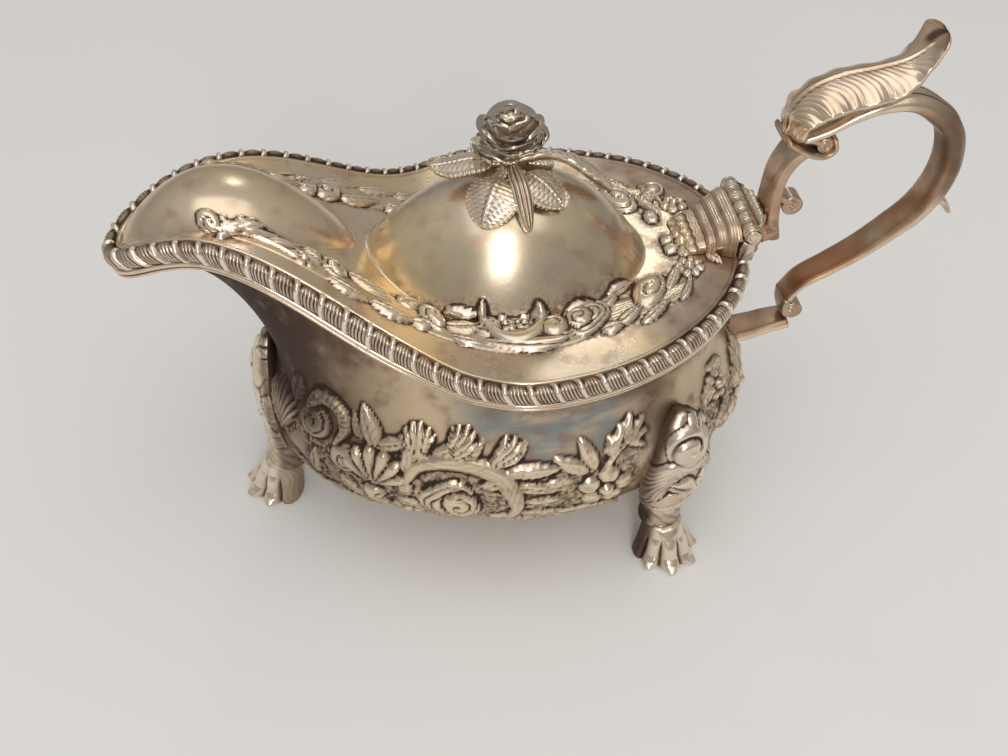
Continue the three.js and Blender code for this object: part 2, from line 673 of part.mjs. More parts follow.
// Feet
function paw() {
  const parts = [
    ball(TOE_REACH * 0.3, 0, PAW_HEIGHT * 0.36, PAW_HALF_WIDTH, PAW_HALF_WIDTH * 0.95, PAW_HEIGHT * 0.52),
    new THREE.CylinderGeometry(ANKLE_RADIUS, ANKLE_RADIUS * 1.15, PAW_HEIGHT - ANKLE_FOOT, 12)
      .rotateX(HALF_TURN / 2).translate(0, 0, (PAW_HEIGHT + ANKLE_FOOT) / 2),
  ];
  for (let i = 0; i < TOE_COUNT; i++) {
    const turn = (i - (TOE_COUNT - 1) / 2) * TOE_SPREAD * HALF_TURN / 180;
    parts.push(ball(
      TOE_REACH * Math.cos(turn), TOE_REACH * Math.sin(turn) * 1.1, PAW_HEIGHT * 0.2,
      TOE_LENGTH, TOE_LENGTH * 0.56, PAW_HEIGHT * 0.32, turn,
    ));
  }
  return cut(join(...parts), box(-BEYOND, BEYOND, -BEYOND, BEYOND, -BEYOND, 0));
}

// Knee from the ankle up: share of its height, how far it stands out as a share of its depth, and shares of
// its width and depth
const KNEE_PROFILE = [
  [0, 0, 0.62, 1.0], [0.1, 0.06, 0.56, 0.88], [0.22, 0.16, 0.72, 0.95], [0.4, 0.48, 0.98, 1.0],
  [0.62, 0.68, 1.0, 0.92], [0.82, 0.6, 0.76, 0.85], [0.94, 0.44, 0.48, 0.6], [1, 0.28, 0.2, 0.4],
];
const KNEE_SIDES = 12;

// Cast knee: a leg that swells into an oval cartouche over the wall.
function knee(foot) {
  const low = PAW_HEIGHT + SEAT_GAP;
  const tall = foot.kneeTop - low;
  const rings = KNEE_PROFILE.map(([share, out, wide, deep]) => {
    const ring = [];
    for (let i = 0; i < KNEE_SIDES; i++) {
      const turn = 2 * i * HALF_TURN / KNEE_SIDES;
      ring.push(vector(
        KNEE_HALF_DEPTH * (out + deep * Math.cos(turn)),
        KNEE_HALF_WIDTH * wide * Math.sin(turn),
        low + tall * share,
      ));
    }
    return ring;
  });
  const leg = skin(rings).rotateZ(foot.toes * HALF_TURN / 180).translate(foot.x, foot.y, 0);
  return cut(leg, boatEnvelope(SEAT_GAP));
}

// Strap of changing width and thickness swept along a line in the upright middle plane.
// The section is a rectangle with its edges taken off.
function strap(points, widthAt, thicknessAt, steps) {
  const line = new THREE.CatmullRomCurve3(points.map(([x, z]) => vector(x, 0, z)), false, 'centripetal');
  const rings = [];
  for (let i = 0; i <= steps; i++) {
    const u = i / steps;
    const middle = line.getPointAt(u);
    const along = line.getTangentAt(u);
    const up = vector(-along.z, 0, along.x);
    const w = widthAt(u) / 2;
    const h = thicknessAt(u) / 2;
    const corners = [
      [w, -h * 0.4], [w, h * 0.4], [w * 0.7, h], [-w * 0.7, h],
      [-w, h * 0.4], [-w, -h * 0.4], [-w * 0.7, -h], [w * 0.7, -h],
    ];
    rings.push(corners.map(([y, n]) => middle.clone().addScaledVector(up, n).setY(y)));
  }
  return skin(rings);
}

// Places on the handle, back from the rear of the rim and up from its height, in hundredths of its reach.
const at = (back, up) => [
  BOAT_LENGTH + HANDLE_REACH * back / 100,
  rimHeight(BOAT_LENGTH) + HANDLE_REACH * up / 100,
];
const HANDLE_LINE = [
  at(24, 55.5), at(34.2, 59.3), at(45.6, 65.8), at(58.9, 70.5), at(73.2, 70.7), at(84.8, 65),
  at(95.4, 54.8), at(100, 38), at(98.1, 21.7), at(91.3, 8), at(80.2, -3), at(68.4, -13.3),
  at(53.2, -23.6), at(40.7, -31.6), at(34.2, -40.7),
];
const NECK_LINE = [
  at(16.7, -2.9), at(16, 11.4), at(15.8, 25.7), at(17.1, 37.3), at(21.5, 46.8), at(25.1, 50.6),
];
const LEDGE_LINE = [at(15.6, 56.3), at(27.8, 50.2), at(39.9, 44.9)];
const TAIL_LINE = [at(5.7, -63.9), at(19, -61.6), at(29.3, -58.9), at(39.9, -57.8)];
const SPUR_LINE = [at(97.3, 16.3), at(103, 10.6), at(109.5, 4.6)];
const LEAF_LINE = [
  at(17.9, 56.3), at(18.3, 68.4), at(25.1, 77.8), at(38, 83.5), at(53.2, 85.9), at(66.5, 89),
  at(77.2, 95.4), at(83.7, 100),
];
const NECK_VOLUTE = at(26.2, 17.9);
const STRAP_VOLUTE = at(34.6, 52.5);
const LOWER_VOLUTE = at(39.5, -49.8);

const bowThickness = (u) => STRAP_THICKNESS + STRAP_SWELL * Math.sin(HALF_TURN * Math.min(u * 1.15, 1)) ** 2;
const volute = ([x, z], radius, width) => rod(radius, width, x, 0, z, 14);

// Ledge bar between the neck and the strap, grown by a gap when it cuts what stands on it.
function ledge(gap) {
  const grown = LEDGE_THICKNESS + 2 * gap;
  return strap(LEDGE_LINE, () => LEDGE_WIDTH + 2 * gap, () => grown, 4);
}

function handleNeck() {
  const stem = strap(NECK_LINE, (u) => STRAP_WIDTH - 2 * Math.sin(HALF_TURN * u), () => NECK_THICKNESS, 10);
  const web = strap([at(17.1, 23.8), NECK_VOLUTE], () => STRAP_WIDTH * 0.6, () => 2.4, 2);
  const joined = join(stem, web, volute(NECK_VOLUTE, VOLUTE_RADIUS, STRAP_WIDTH), ledge(0));
  const bracket = box(0, bracketRear() + SEAT_GAP, -BEYOND, BEYOND, 0, pinZ() + KNUCKLE_RADIUS);
  return cut(joined, bracket);
}

// Block under the ledge's top face, so that the strap and the leaf stand clear above it
function underLedge() {
  const [[x0, z0], , [x1, z1]] = LEDGE_LINE;
  const slope = Math.atan2(z1 - z0, x1 - x0);
  const lift = LEDGE_THICKNESS / 2 + SEAT_GAP;
  const deep = HANDLE_REACH * 0.15;
  return new THREE.BoxGeometry(HANDLE_REACH * 0.5, BEYOND, deep)
    .translate(0, 0, lift - deep / 2).rotateY(-slope).translate((x0 + x1) / 2, 0, (z0 + z1) / 2 + SEAT_GAP);
}

function handleStrap() {
  const narrow = STRAP_WIDTH * 0.8;
  const widthAt = (u) => narrow + (STRAP_WIDTH - narrow) * Math.sin(HALF_TURN * u);
  const bow = strap(HANDLE_LINE, widthAt, bowThickness, HANDLE_STEPS);
  const hookLine = [HANDLE_LINE[0], at(28.9, 54.4), STRAP_VOLUTE];
  const curlLine = [HANDLE_LINE.at(-1), at(35, -46.4), LOWER_VOLUTE];
  const hook = strap(hookLine, () => narrow, () => STRAP_THICKNESS * 0.67, 3);
  const curl = strap(curlLine, () => narrow, () => STRAP_THICKNESS * 0.87, 4);
  const joined = join(
    bow, hook, curl,
    volute(STRAP_VOLUTE, VOLUTE_RADIUS * 0.8, narrow),
    volute(LOWER_VOLUTE, VOLUTE_RADIUS, STRAP_WIDTH * 0.9),
  );
  return cut(joined, underLedge());
}

function handleTail() {
  const bar = strap(TAIL_LINE, () => STRAP_WIDTH, () => TAIL_THICKNESS, 5);
  const clear = volute(LOWER_VOLUTE, VOLUTE_RADIUS + SEAT_GAP, STRAP_WIDTH * 2);
  return cut(bar, boatEnvelope(SEAT_GAP), clear);
}

// Broad thumb leaf, arched over the strap, with its tip turned up.
function handleLeaf() {
  const line = new THREE.CatmullRomCurve3(LEAF_LINE.map(([x, z]) => vector(x, 0, z)), false, 'centripetal');
  const steps = 18;
  const across = 6;
  const rings = [];
  for (let i = 0; i <= steps; i++) {
    const u = i / steps;
    const middle = line.getPointAt(u);
    const along = line.getTangentAt(u);
    const up = vector(-along.z, 0, along.x);
    const swell = Math.pow(Math.sin(HALF_TURN * Math.min(0.1 + u * 0.95, 1)), 0.6);
    const wide = LEAF_WIDTH / 2 * (0.55 + 0.45 * swell);
    const drop = LEAF_DROP * (0.2 + 0.8 * smooth(u / 0.3)) * (1 - 0.8 * smooth((u - 0.7) / 0.3));
    const face = (lift) => Array.from({ length: across + 1 }, (_, k) => {
      const y = 2 * k / across - 1;
      return middle.clone().addScaledVector(up, lift - drop * y * y).setY(wide * y);
    });
    rings.push([...face(LEAF_THICKNESS), ...face(0).reverse()]);
  }
  return cut(skin(rings), underLedge());
}

// Room of the bow and its gap, cut out of the spur that is seated on it
function bowSpace() {
  const thicknessAt = (u) => bowThickness(u) + 2 * SEAT_GAP;
  return strap(HANDLE_LINE, () => STRAP_WIDTH + 2 * SEAT_GAP, thicknessAt, HANDLE_STEPS);
}

function handleSpur() {
  const widthAt = (u) => SPUR_WIDTH * (1 - 0.65 * u);
  const thicknessAt = (u) => SPUR_THICKNESS * (1 - 0.6 * u);
  return cut(strap(SPUR_LINE, widthAt, thicknessAt, 4), bowSpace());
}

// Finial: a rose on a short stem, with leaves, a bud and a twig round it
function finialStem() {
  const base = domeTop() + SEAT_GAP;
  const profile = [
    [0, 0], [STEM_RADIUS * 2, 0], [STEM_RADIUS * 1.7, STEM_HEIGHT * 0.2], [STEM_RADIUS, STEM_HEIGHT * 0.44],
    [STEM_RADIUS * 0.9, STEM_HEIGHT], [0, STEM_HEIGHT],
  ].map(([r, z]) => new THREE.Vector2(r, z));
  const stem = new THREE.LatheGeometry(profile, 12).rotateX(HALF_TURN / 2).translate(DOME.middle, 0, base);
  const hole = new THREE.CylinderGeometry(SCREW_RADIUS + 0.2, SCREW_RADIUS + 0.2, 6, 12)
    .rotateX(HALF_TURN / 2).translate(DOME.middle, 0, base);
  return cut(stem, hole);
}

// Whorls of the rose from the stem up, as shares of its height and of its radius
const ROSE_PROFILE = [
  [0, 0.3], [0.08, 0.55], [0.28, 1.0], [0.4, 0.96], [0.46, 0.7], [0.62, 0.78], [0.82, 0.86], [0.92, 0.78],
  [0.86, 0.5], [0.97, 0.38], [1, 0.16],
];
const ROSE_SIDES = 20;

function finialRose() {
  const base = domeTop() + 2 * SEAT_GAP + STEM_HEIGHT;
  const rings = ROSE_PROFILE.map(([share, wide], j) => {
    const ring = [];
    for (let i = 0; i < ROSE_SIDES; i++) {
      const turn = 2 * i * HALF_TURN / ROSE_SIDES;
      const lobe = 1 + 0.12 * Math.cos(ROSE_LOBES * turn + j * 0.5);
      const r = ROSE_RADIUS * wide * lobe;
      ring.push(vector(DOME.middle + r * Math.cos(turn), r * Math.sin(turn), base + ROSE_HEIGHT * share));
    }
    return ring;
  });
  return skin(rings);
}

// Leaf of sheet silver that leaves the stem at a bearing. Its line is given as reach from the stem's middle
// and height over the dome, in shares of a low leaf's reach.
function sheetLeaf(bearing, line, widthAt, thickness = FINIAL_LEAF_THICKNESS) {
  const turn = bearing * HALF_TURN / 180;
  const places = line.map(([reach, lift]) => {
    const out = FINIAL_REACH * reach;
    const ground = lidHeight(DOME.middle + out * Math.cos(turn), out * Math.sin(turn));
    return vector(out, 0, ground + FINIAL_REACH * lift);
  });
  const path = new THREE.CatmullRomCurve3(places, false, 'centripetal');
  const steps = 8;
  const rings = [];
  for (let i = 0; i <= steps; i++) {
    const u = i / steps;
    const middle = path.getPointAt(u);
    const along = path.getTangentAt(u);
    const up = vector(-along.z, 0, along.x);
    const wide = widthAt(u) / 2;
    const face = (lift) => [-1, -0.5, 0, 0.5, 1].map((y) => middle.clone()
      .addScaledVector(up, lift + 0.12 * wide * (1 - y * y)).setY(wide * y));
    rings.push([...face(thickness), ...face(0).reverse()]);
  }
  return skin(rings).rotateZ(turn).translate(DOME.middle, 0, 0);
}

const ovalLeaf = (width) => (u) => {
  const blade = Math.min(Math.max((u - 0.12) / 0.86, 0), 1);
  return LEAF_STALK + (width - LEAF_STALK) * Math.pow(Math.sin(HALF_TURN * Math.pow(blade, 0.9)), 0.75);
};
const LEAF_START = STEM_RADIUS + SEAT_GAP;

const LEAF_ROOT = LEAF_START / FINIAL_REACH;
const LOW_LEAF_LINE = [[LEAF_ROOT + 0.05, 0.13], [0.53, 0.08], [1, 0.06]];
const RAISED_LEAF_LINE = [[LEAF_ROOT, 0.21], [0.53, 0.25], [1, 0.31], [1.33, 0.57]];

const FINIAL_LEAVES = [
  { name: 'finial_leaf_long', bearing: 176, line: RAISED_LEAF_LINE, width: 8 },
  { name: 'finial_leaf_broad', bearing: 236, line: LOW_LEAF_LINE, width: 11 },
  { name: 'finial_leaf_round', bearing: 322, line: LOW_LEAF_LINE, width: 9 },
  { name: 'finial_leaf_back_left', bearing: 120, line: LOW_LEAF_LINE, width: 10 },
  { name: 'finial_leaf_back_right', bearing: 42, line: LOW_LEAF_LINE, width: 9 },
];

function finialBud() {
  const line = [[LEAF_ROOT + 0.03, 0.21], [0.53, 0.24], [1.07, 0.13]];
  const widthAt = (u) => LEAF_STALK + BUD_SWELL * Math.sin(HALF_TURN * Math.min(u * 1.02, 1));
  return sheetLeaf(279, line, widthAt, BUD_THICKNESS);
}

function finialTwig() {
  const line = [[LEAF_ROOT, 0.23], [0.67, 0.31], [1.2, 0.23], [1.73, 0.2]];
  const widthAt = (u) => LEAF_STALK + TWIG_SWELL * Math.sin(HALF_TURN * smooth((u - 0.3) / 0.7));
  return sheetLeaf(2, line, widthAt, TWIG_THICKNESS);
}

// Fastening of the finial under the dome
function finialScrew() {
  const low = domeTop() - LID_SHEET - WASHER_THICKNESS - NUT_THICKNESS - 2;
  const high = domeTop() + 3;
  return new THREE.CylinderGeometry(SCREW_RADIUS, SCREW_RADIUS, high - low, 12)
    .rotateX(HALF_TURN / 2).translate(DOME.middle, 0, (low + high) / 2);
}

function ringAround(outer, thickness, sides, top) {
  const body = new THREE.CylinderGeometry(outer, outer, thickness, sides);
  const hole = new THREE.CylinderGeometry(SCREW_RADIUS + 0.15, SCREW_RADIUS + 0.15, thickness * 2, 12);
  return cut(body, hole).rotateX(HALF_TURN / 2).translate(DOME.middle, 0, top - thickness / 2);
}

// Assembly
const silver = (color, roughness) => new THREE.MeshStandardMaterial({ color, roughness, metalness: 1 });
const polished = silver(0xd8d2c0, 0.18);
const chased = silver(0xb9ab97, 0.32);
const cast = silver(0xc9bba6, 0.26);
const gilt = silver(0xcbb98f, 0.3);

const sauceBoat = new THREE.Group();
const boat = new THREE.Group();
const cover = new THREE.Group();

function add(group, name, geometry, material) {
  const mesh = new THREE.Mesh(geometry, material.clone());
  mesh.name = name;
  group.add(mesh);
  return mesh;
}

function addBoat() {
  add(boat, 'boat_body', boatBody(), chased);
  add(boat, 'rim_gadroon', rimGadroon(), cast);
  add(boat, 'rim_moulding', rimMoulding(), polished);
  const foot = paw();
  for (const place of FEET) {
    add(boat, `${place.name}_knee`, knee(place), cast);
    const mesh = add(boat, `${place.name}_paw`, foot.clone(), cast);
    mesh.position.set(place.x, place.y, 0);
    mesh.rotation.z = place.toes * HALF_TURN / 180;
  }
  add(boat, 'handle_neck', handleNeck(), cast);
  add(boat, 'handle_strap', handleStrap(), polished);
  add(boat, 'handle_leaf', handleLeaf(), cast);
  add(boat, 'handle_tail', handleTail(), polished);
  add(boat, 'handle_spur', handleSpur(), cast);
  add(boat, 'hinge_bracket', hingeBracket(), cast);
  add(boat, 'hinge_pin', hingePin(), polished);
}

function addKnuckles() {
  for (let i = 0; i < KNUCKLE_COUNT; i++) {
    const fixed = i % 2 === 0;
    const place = Math.floor(i / 2) + 1;
    add(fixed ? boat : cover, fixed ? `boat_knuckle_${place}` : `lid_knuckle_${place}`, knuckle(i), cast);
  }
}

function addCover() {
  add(cover, 'lid_plate', lidPlate(), gilt);
  add(cover, 'lid_bezel', lidBezel(), gilt);
  add(cover, 'hinge_leaf', hingeLeaf(), cast);
  add(cover, 'finial_stem', finialStem(), cast);
  add(cover, 'finial_rose', finialRose(), polished);
  for (const leaf of FINIAL_LEAVES) {
    add(cover, leaf.name, sheetLeaf(leaf.bearing, leaf.line, ovalLeaf(leaf.width)), cast);
  }
  add(cover, 'finial_bud', finialBud(), cast);
  add(cover, 'finial_twig', finialTwig(), cast);
  add(cover, 'finial_screw', finialScrew(), polished);
  const washerTop = lidHeight(DOME.middle, WASHER_RADIUS * 1.4) - LID_SHEET - SEAT_GAP;
  add(cover, 'finial_washer', ringAround(WASHER_RADIUS, WASHER_THICKNESS, 16, washerTop), polished);
  const nutTop = washerTop - WASHER_THICKNESS - SEAT_GAP;
  add(cover, 'finial_nut', ringAround(NUT_RADIUS, NUT_THICKNESS, 6, nutTop), polished);
}

addBoat();
addKnuckles();
addCover();
sauceBoat.add(boat, cover);

// The origin goes under the middle of the overall length.
const extent = new THREE.Box3().setFromObject(sauceBoat);
sauceBoat.position.x = -(extent.min.x + extent.max.x) / 2;

export default sauceBoat;
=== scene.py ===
import bpy
import numpy as np
from mathutils import Matrix


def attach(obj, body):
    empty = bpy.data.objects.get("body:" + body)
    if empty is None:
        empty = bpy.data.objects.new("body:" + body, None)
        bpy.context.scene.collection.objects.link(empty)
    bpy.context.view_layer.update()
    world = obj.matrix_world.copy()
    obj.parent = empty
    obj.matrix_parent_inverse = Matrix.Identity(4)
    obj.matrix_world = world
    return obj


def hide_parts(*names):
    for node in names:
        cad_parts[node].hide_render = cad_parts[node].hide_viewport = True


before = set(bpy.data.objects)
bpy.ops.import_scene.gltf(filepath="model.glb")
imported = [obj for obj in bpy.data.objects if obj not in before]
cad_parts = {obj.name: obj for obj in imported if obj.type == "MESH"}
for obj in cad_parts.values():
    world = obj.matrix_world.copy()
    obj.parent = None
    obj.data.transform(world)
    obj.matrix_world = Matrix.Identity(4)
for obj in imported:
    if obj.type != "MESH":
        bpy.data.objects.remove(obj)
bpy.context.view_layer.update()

# Camera
# It looks down at the boat from near by, in front and a little to the left, so that the spout points left.
# Its place, its turn and its lens were fitted to the outline of the rim.
camera_data = bpy.data.cameras.new("camera")
camera_data.lens = 42.857
camera_data.sensor_width = 36
camera_data.clip_start, camera_data.clip_end = 0.01, 20
camera = bpy.data.objects.new("camera", camera_data)
camera.matrix_world = Matrix((
    (0.98875, 0.09239, -0.11766, -0.049196),
    (-0.14852, 0.70040, -0.69813, -0.231372),
    (0.01791, 0.70775, 0.70624, 0.268851),
    (0, 0, 0, 1),
))
bpy.context.collection.objects.link(camera)
bpy.context.scene.camera = camera


# Wall of the boat
# The bowl is raised from one sheet of silver, about a millimetre thick. Its rim climbs over the spout, and
# the belly carries a wide band of flowers, leaves and scrolls, pushed out from inside and chased from
# outside.
LENGTH, WIDTH, RIM, SHEET = 150.5, 91.0, 76.5, 0.9
LIP_END, SPOUT_END, REAR_START = LENGTH * 0.146, LENGTH * 0.532, LENGTH * 0.72
SPOUT_RISE, LIP_DROP, REAR_RISE, THROAT_HOLLOW = 23.5, 9.5, 2.5, 4.55
FLOOR_MIDDLE = (LENGTH * 0.6245, 0, RIM * 0.162 - 1.4)
ZERO_OF_SOLIDS = 102.748


def spline(points, at):
    """Curve through points at the places in at: between two points it is a cubic whose end slopes come from
    the neighbouring points, weighted by the square roots of the distances between them."""
    points = np.asarray(points, float)
    chain = np.concatenate([2 * points[:1] - points[1:2], points, 2 * points[-1:] - points[-2:-1]])
    gap = np.maximum(np.linalg.norm(np.diff(chain, axis=0), axis=-1, keepdims=True), 1e-6) ** 0.5
    at = np.asarray(at, float)
    low = np.clip(np.floor(at).astype(int), 0, len(points) - 2)
    u = (at - low).reshape((-1,) + (1,) * (points.ndim - 1))
    a, b, c, d = (chain[low + k] for k in range(4))
    p, q, r = (gap[low + k] for k in range(3))
    start = ((b - a) / p - (c - a) / (p + q) + (c - b) / q) * q
    end = ((c - b) / q - (d - b) / (q + r) + (d - c) / r) * q
    return b + start * u + (3 * (c - b) - 2 * start - end) * u**2 + (2 * (b - c) + start + end) * u**3


def even(points, count):
    """The same curve at count places that lie equally far apart along it."""
    fine = np.linspace(0, len(points) - 1, 60 * len(points))
    line = spline(points, fine)
    run = np.concatenate([[0], np.cumsum(np.linalg.norm(np.diff(line, axis=0), axis=-1))])
    return spline(points, np.interp(np.linspace(0, run[-1], count), run, fine))


def ease(t):
    """Soft step from 0 to 1: 3t² - 2t³."""
    t = np.clip(t, 0, 1)
    return t * t * (3 - 2 * t)


def bell(t):
    """Soft peak of height 1 at 0: e to the power of -t²."""
    return np.exp(-(t**2))


def half_round(t):
    """Half circle over -1 to 1: the square root of 1 - t²."""
    return np.sqrt(np.clip(1 - t**2, 0, 1))


def rim_height(x):
    """Height of the rim: level, a cosine rise over the spout, a power drop at the lip, a soft rise at the
    rear."""
    along = np.clip((x - LIP_END) / (SPOUT_END - LIP_END), 0, 1)
    lip = LIP_DROP * np.clip(1 - x / LIP_END, 0, None) ** 1.8
    rear = REAR_RISE * ease((x - REAR_START) / (LENGTH - REAR_START))
    return RIM + SPOUT_RISE / 2 * (1 + np.cos(np.pi * along)) - lip + rear


# One side of the rim in plan: a curve out from the tip of the spout, then a quarter of an ellipse
SIDE = [
    (0, 0), (WIDTH * 0.022, WIDTH * 0.055), (LENGTH * 0.179, WIDTH * 0.189), (LENGTH * 0.419, WIDTH * 0.355),
    (LENGTH * (0.419 + 0.605 * 1.6) / 2.6, WIDTH * (0.71 * 0.13 + 0.372)), (LENGTH * 0.605, WIDTH / 2),
]
SIDE += [
    (LENGTH * (0.605 + 0.395 * np.sin(k * np.pi / 2)), WIDTH / 2 * np.cos(k * np.pi / 2))
    for k in (0.22, 0.45, 0.68, 0.86)
]
LOOP = np.array([(x, -y) for x, y in SIDE] + [(LENGTH, 0)] + [(x, y) for x, y in SIDE[:0:-1]])


def outline(at):
    """Plan of the rim as a closed curve through the points of LOOP, near side first."""
    wrapped = np.concatenate([LOOP[-3:], LOOP, LOOP[:3]])
    return spline(wrapped, np.asarray(at) % len(LOOP) + 3)


FINE = np.linspace(0, len(LOOP), 6001)
STEPS_ROUND = np.linalg.norm(np.diff(outline(np.minimum(FINE, len(LOOP) - 1e-9)), axis=0), axis=1)
RUN_ROUND = np.concatenate([[0], np.cumsum(STEPS_ROUND)])
RIM_ROUND = RUN_ROUND[-1]


def rim(t, out=0.0, up=0.0):
    """Point on the rim a share t of the way round, moved level outwards and square to the rim upwards."""
    at = np.interp(t % 1, RUN_ROUND / RIM_ROUND, FINE)
    place = outline(at)
    along = outline(at + 0.002) - outline(at - 0.002)
    along /= np.linalg.norm(along, axis=-1, keepdims=True)
    x, y = place.T
    slope = (rim_height(x + 0.5) - rim_height(x - 0.5)) * along[:, 0]
    lift = np.stack([-along[:, 0] * slope, -along[:, 1] * slope, np.ones_like(x)], -1)
    lift /= np.linalg.norm(lift, axis=-1, keepdims=True)
    way = np.stack([along[:, 1], -along[:, 0], 0 * x], -1)
    base = np.stack([x, y, rim_height(x)], -1)
    return base + way * np.reshape(out, (-1, 1)) + lift * np.reshape(up, (-1, 1)), way, lift


# Each level is an ellipse: where it starts and ends as shares of the length, its width, its height
LEVELS = [
    (0.216, 0.99, 0.923, 0.784), (0.196, 1.043, 1.011, 0.523), (0.239, 1.013, 0.868, 0.301),
    (0.379, 0.87, 0.484, 0.162),
]


def level(k, t):
    """Ellipse of one level, as points for the shares t round it."""
    front, rear, wide, high = LEVELS[k]
    x = LENGTH * ((front + rear) / 2 - (rear - front) / 2 * np.cos(2 * np.pi * t))
    return np.stack([x, -WIDTH * wide / 2 * np.sin(2 * np.pi * t), np.full_like(t, RIM * high)], -1)


def wall(t, s):
    """Wall of the boat: for each share t round, a curve down from the rim through a hollow throat and four
    ellipses to the middle of the floor."""
    place, way, _ = rim(t)
    hollow = THROAT_HOLLOW * ease(1 - place[:, :1] / SPOUT_END)
    throat = (place + level(0, t)) / 2 - hollow * way + hollow * np.array([0, 0, 1.0])
    middle = np.broadcast_to(FLOOR_MIDDLE, place.shape)
    return spline(np.stack([place, throat] + [level(k, t) for k in range(4)] + [middle]), np.asarray(s) * 6)


def runs(points, zero):
    """Distance along each column of a grid, measured from row zero."""
    run = np.cumsum(np.linalg.norm(np.diff(points, axis=0), axis=-1), axis=0)
    run = np.concatenate([0 * run[:1], run])
    return run - run[zero]


def outward(points, centre):
    """Direction square to a grid that is closed round its columns, on the side away from the centre."""
    down = np.gradient(points, axis=0)
    across = np.roll(points, -1, axis=1) - np.roll(points, 1, axis=1)
    way = np.cross(down, across)
    way /= np.linalg.norm(way, axis=-1, keepdims=True) + 1e-9
    return way if np.sum(way * (points - centre)) > 0 else -way


# The ornaments are heights over a chart of the surface, with p along the ornament and q across it
def rose(p, q, size, high=2.0, turn=0.0):
    """Rose from above: a ball of wavy outer petals, parted by two grooves, round a coiled eye that sits
    to one side."""
    c, s = np.cos(turn), np.sin(turn)
    p, q = p * c + q * s, q * c - p * s
    far, around = np.hypot(p, q) / size, np.arctan2(q, p)
    wave = far + 0.08 * np.sin(3 * around + 1)
    petal = high * (0.42 + 0.5 * half_round(far)) * ease((1 - wave) / 0.06)
    for edge in (0.56, 0.79):
        petal -= 0.3 * high * bell((wave - edge) / 0.075) * (wave < 0.96)
    a, b = p - 0.32 * size, q - 0.1 * size
    eye, spin = np.hypot(a, b) / (0.54 * size), np.arctan2(b, a)
    groove = np.clip(np.cos(2 * np.pi * 1.7 * eye - spin), 0, 1) ** 2 * (eye > 0.1)
    coiled = high * (1.12 - 0.26 * eye**2) * (1 - 0.4 * groove) * ease((1 - eye) / 0.1)
    return np.maximum(petal * (1 - 0.55 * bell((eye - 1.06) / 0.1)), coiled)


def swirl(p, q, size, high=2.0, turn=0.0, turns=1.4):
    """Rolled end of a scroll: a ball with one groove that winds into its middle."""
    far, around = np.hypot(p, q) / size, np.arctan2(q, p) + turn
    groove = np.clip(np.cos(2 * np.pi * turns * far - around), 0, 1) ** 6 * (far > 0.1)
    return high * half_round(far) ** 0.9 * (1 - 0.5 * groove)


def almond(p, q, length, wide, high=2.4):
    """Closed bud like a mussel: a pointed oval with one deep slanting cut and fine lines beside it."""
    a = p / length
    half_wide = wide / 2 * np.sin(np.pi * np.clip(a, 0, 1) ** 0.85) ** 0.7
    body = half_round(q / np.maximum(half_wide, 1e-3)) * (a > 0) * (a < 1)
    cut = q + 0.14 * wide - 0.1 * wide * np.cos(np.pi * a)
    lines = np.clip(np.cos(2 * np.pi * cut / 1.1), 0, 1) ** 3 * (cut > 0.5)
    return high * body * (1 - 0.62 * bell(cut / 0.34) - 0.08 * lines)


def flower(p, q, size, count=5, high=1.8, eye=0.3, turn=0.0):
    """Open flower: petals round a knob. A petal is half a round bar, widest near its end and creased along
    its middle."""
    far, around = np.hypot(p, q) / size, np.arctan2(q, p) + turn
    across = ((around * count / (2 * np.pi)) % 1 - 0.5) * 2
    wide = 0.96 * half_round(np.clip(far - 0.62, 0, None) / 0.38)
    petal = half_round(across / np.maximum(wide, 1e-3)) * (far < 1)
    petal *= high * (0.5 + 0.4 * np.sin(np.pi * np.clip(far, 0, 1)))
    petal -= 0.3 * bell(across * far * 5) * (far < 0.92) * (far > eye)
    return np.maximum(petal * (1 - 0.6 * bell((far - eye * 1.15) / 0.08)), 1.3 * high * half_round(far / eye))


def leaf(p, q, length, wide, bend=0.0, high=1.3, teeth=0, rib=1.7):
    """Leaf from its root along p: a pointed oval outline, toothed or plain, a grooved middle line, and
    slanting side veins as narrow grooves a rib apart."""
    a = p / length
    q = q - bend * length * a * a
    half_wide = wide / 2 * np.sin(np.pi * np.clip(a, 0, 1) ** 0.8) ** 0.8
    if teeth:
        half_wide = half_wide * (0.82 + 0.26 * (1 - (a * teeth) % 1))
    body = half_round(abs(q) / np.maximum(half_wide, 1e-3)) * (a > 0) * (a < 1)
    veins = np.clip(np.cos(2 * np.pi * (p - 0.9 * abs(q)) / rib), 0, 1) ** 4
    height = high * body * (0.62 + 0.38 * np.sin(np.pi * np.clip(a, 0, 1)))
    return np.clip(height - body * (0.2 * veins + 0.4 * bell(q / 0.3)), 0, None)


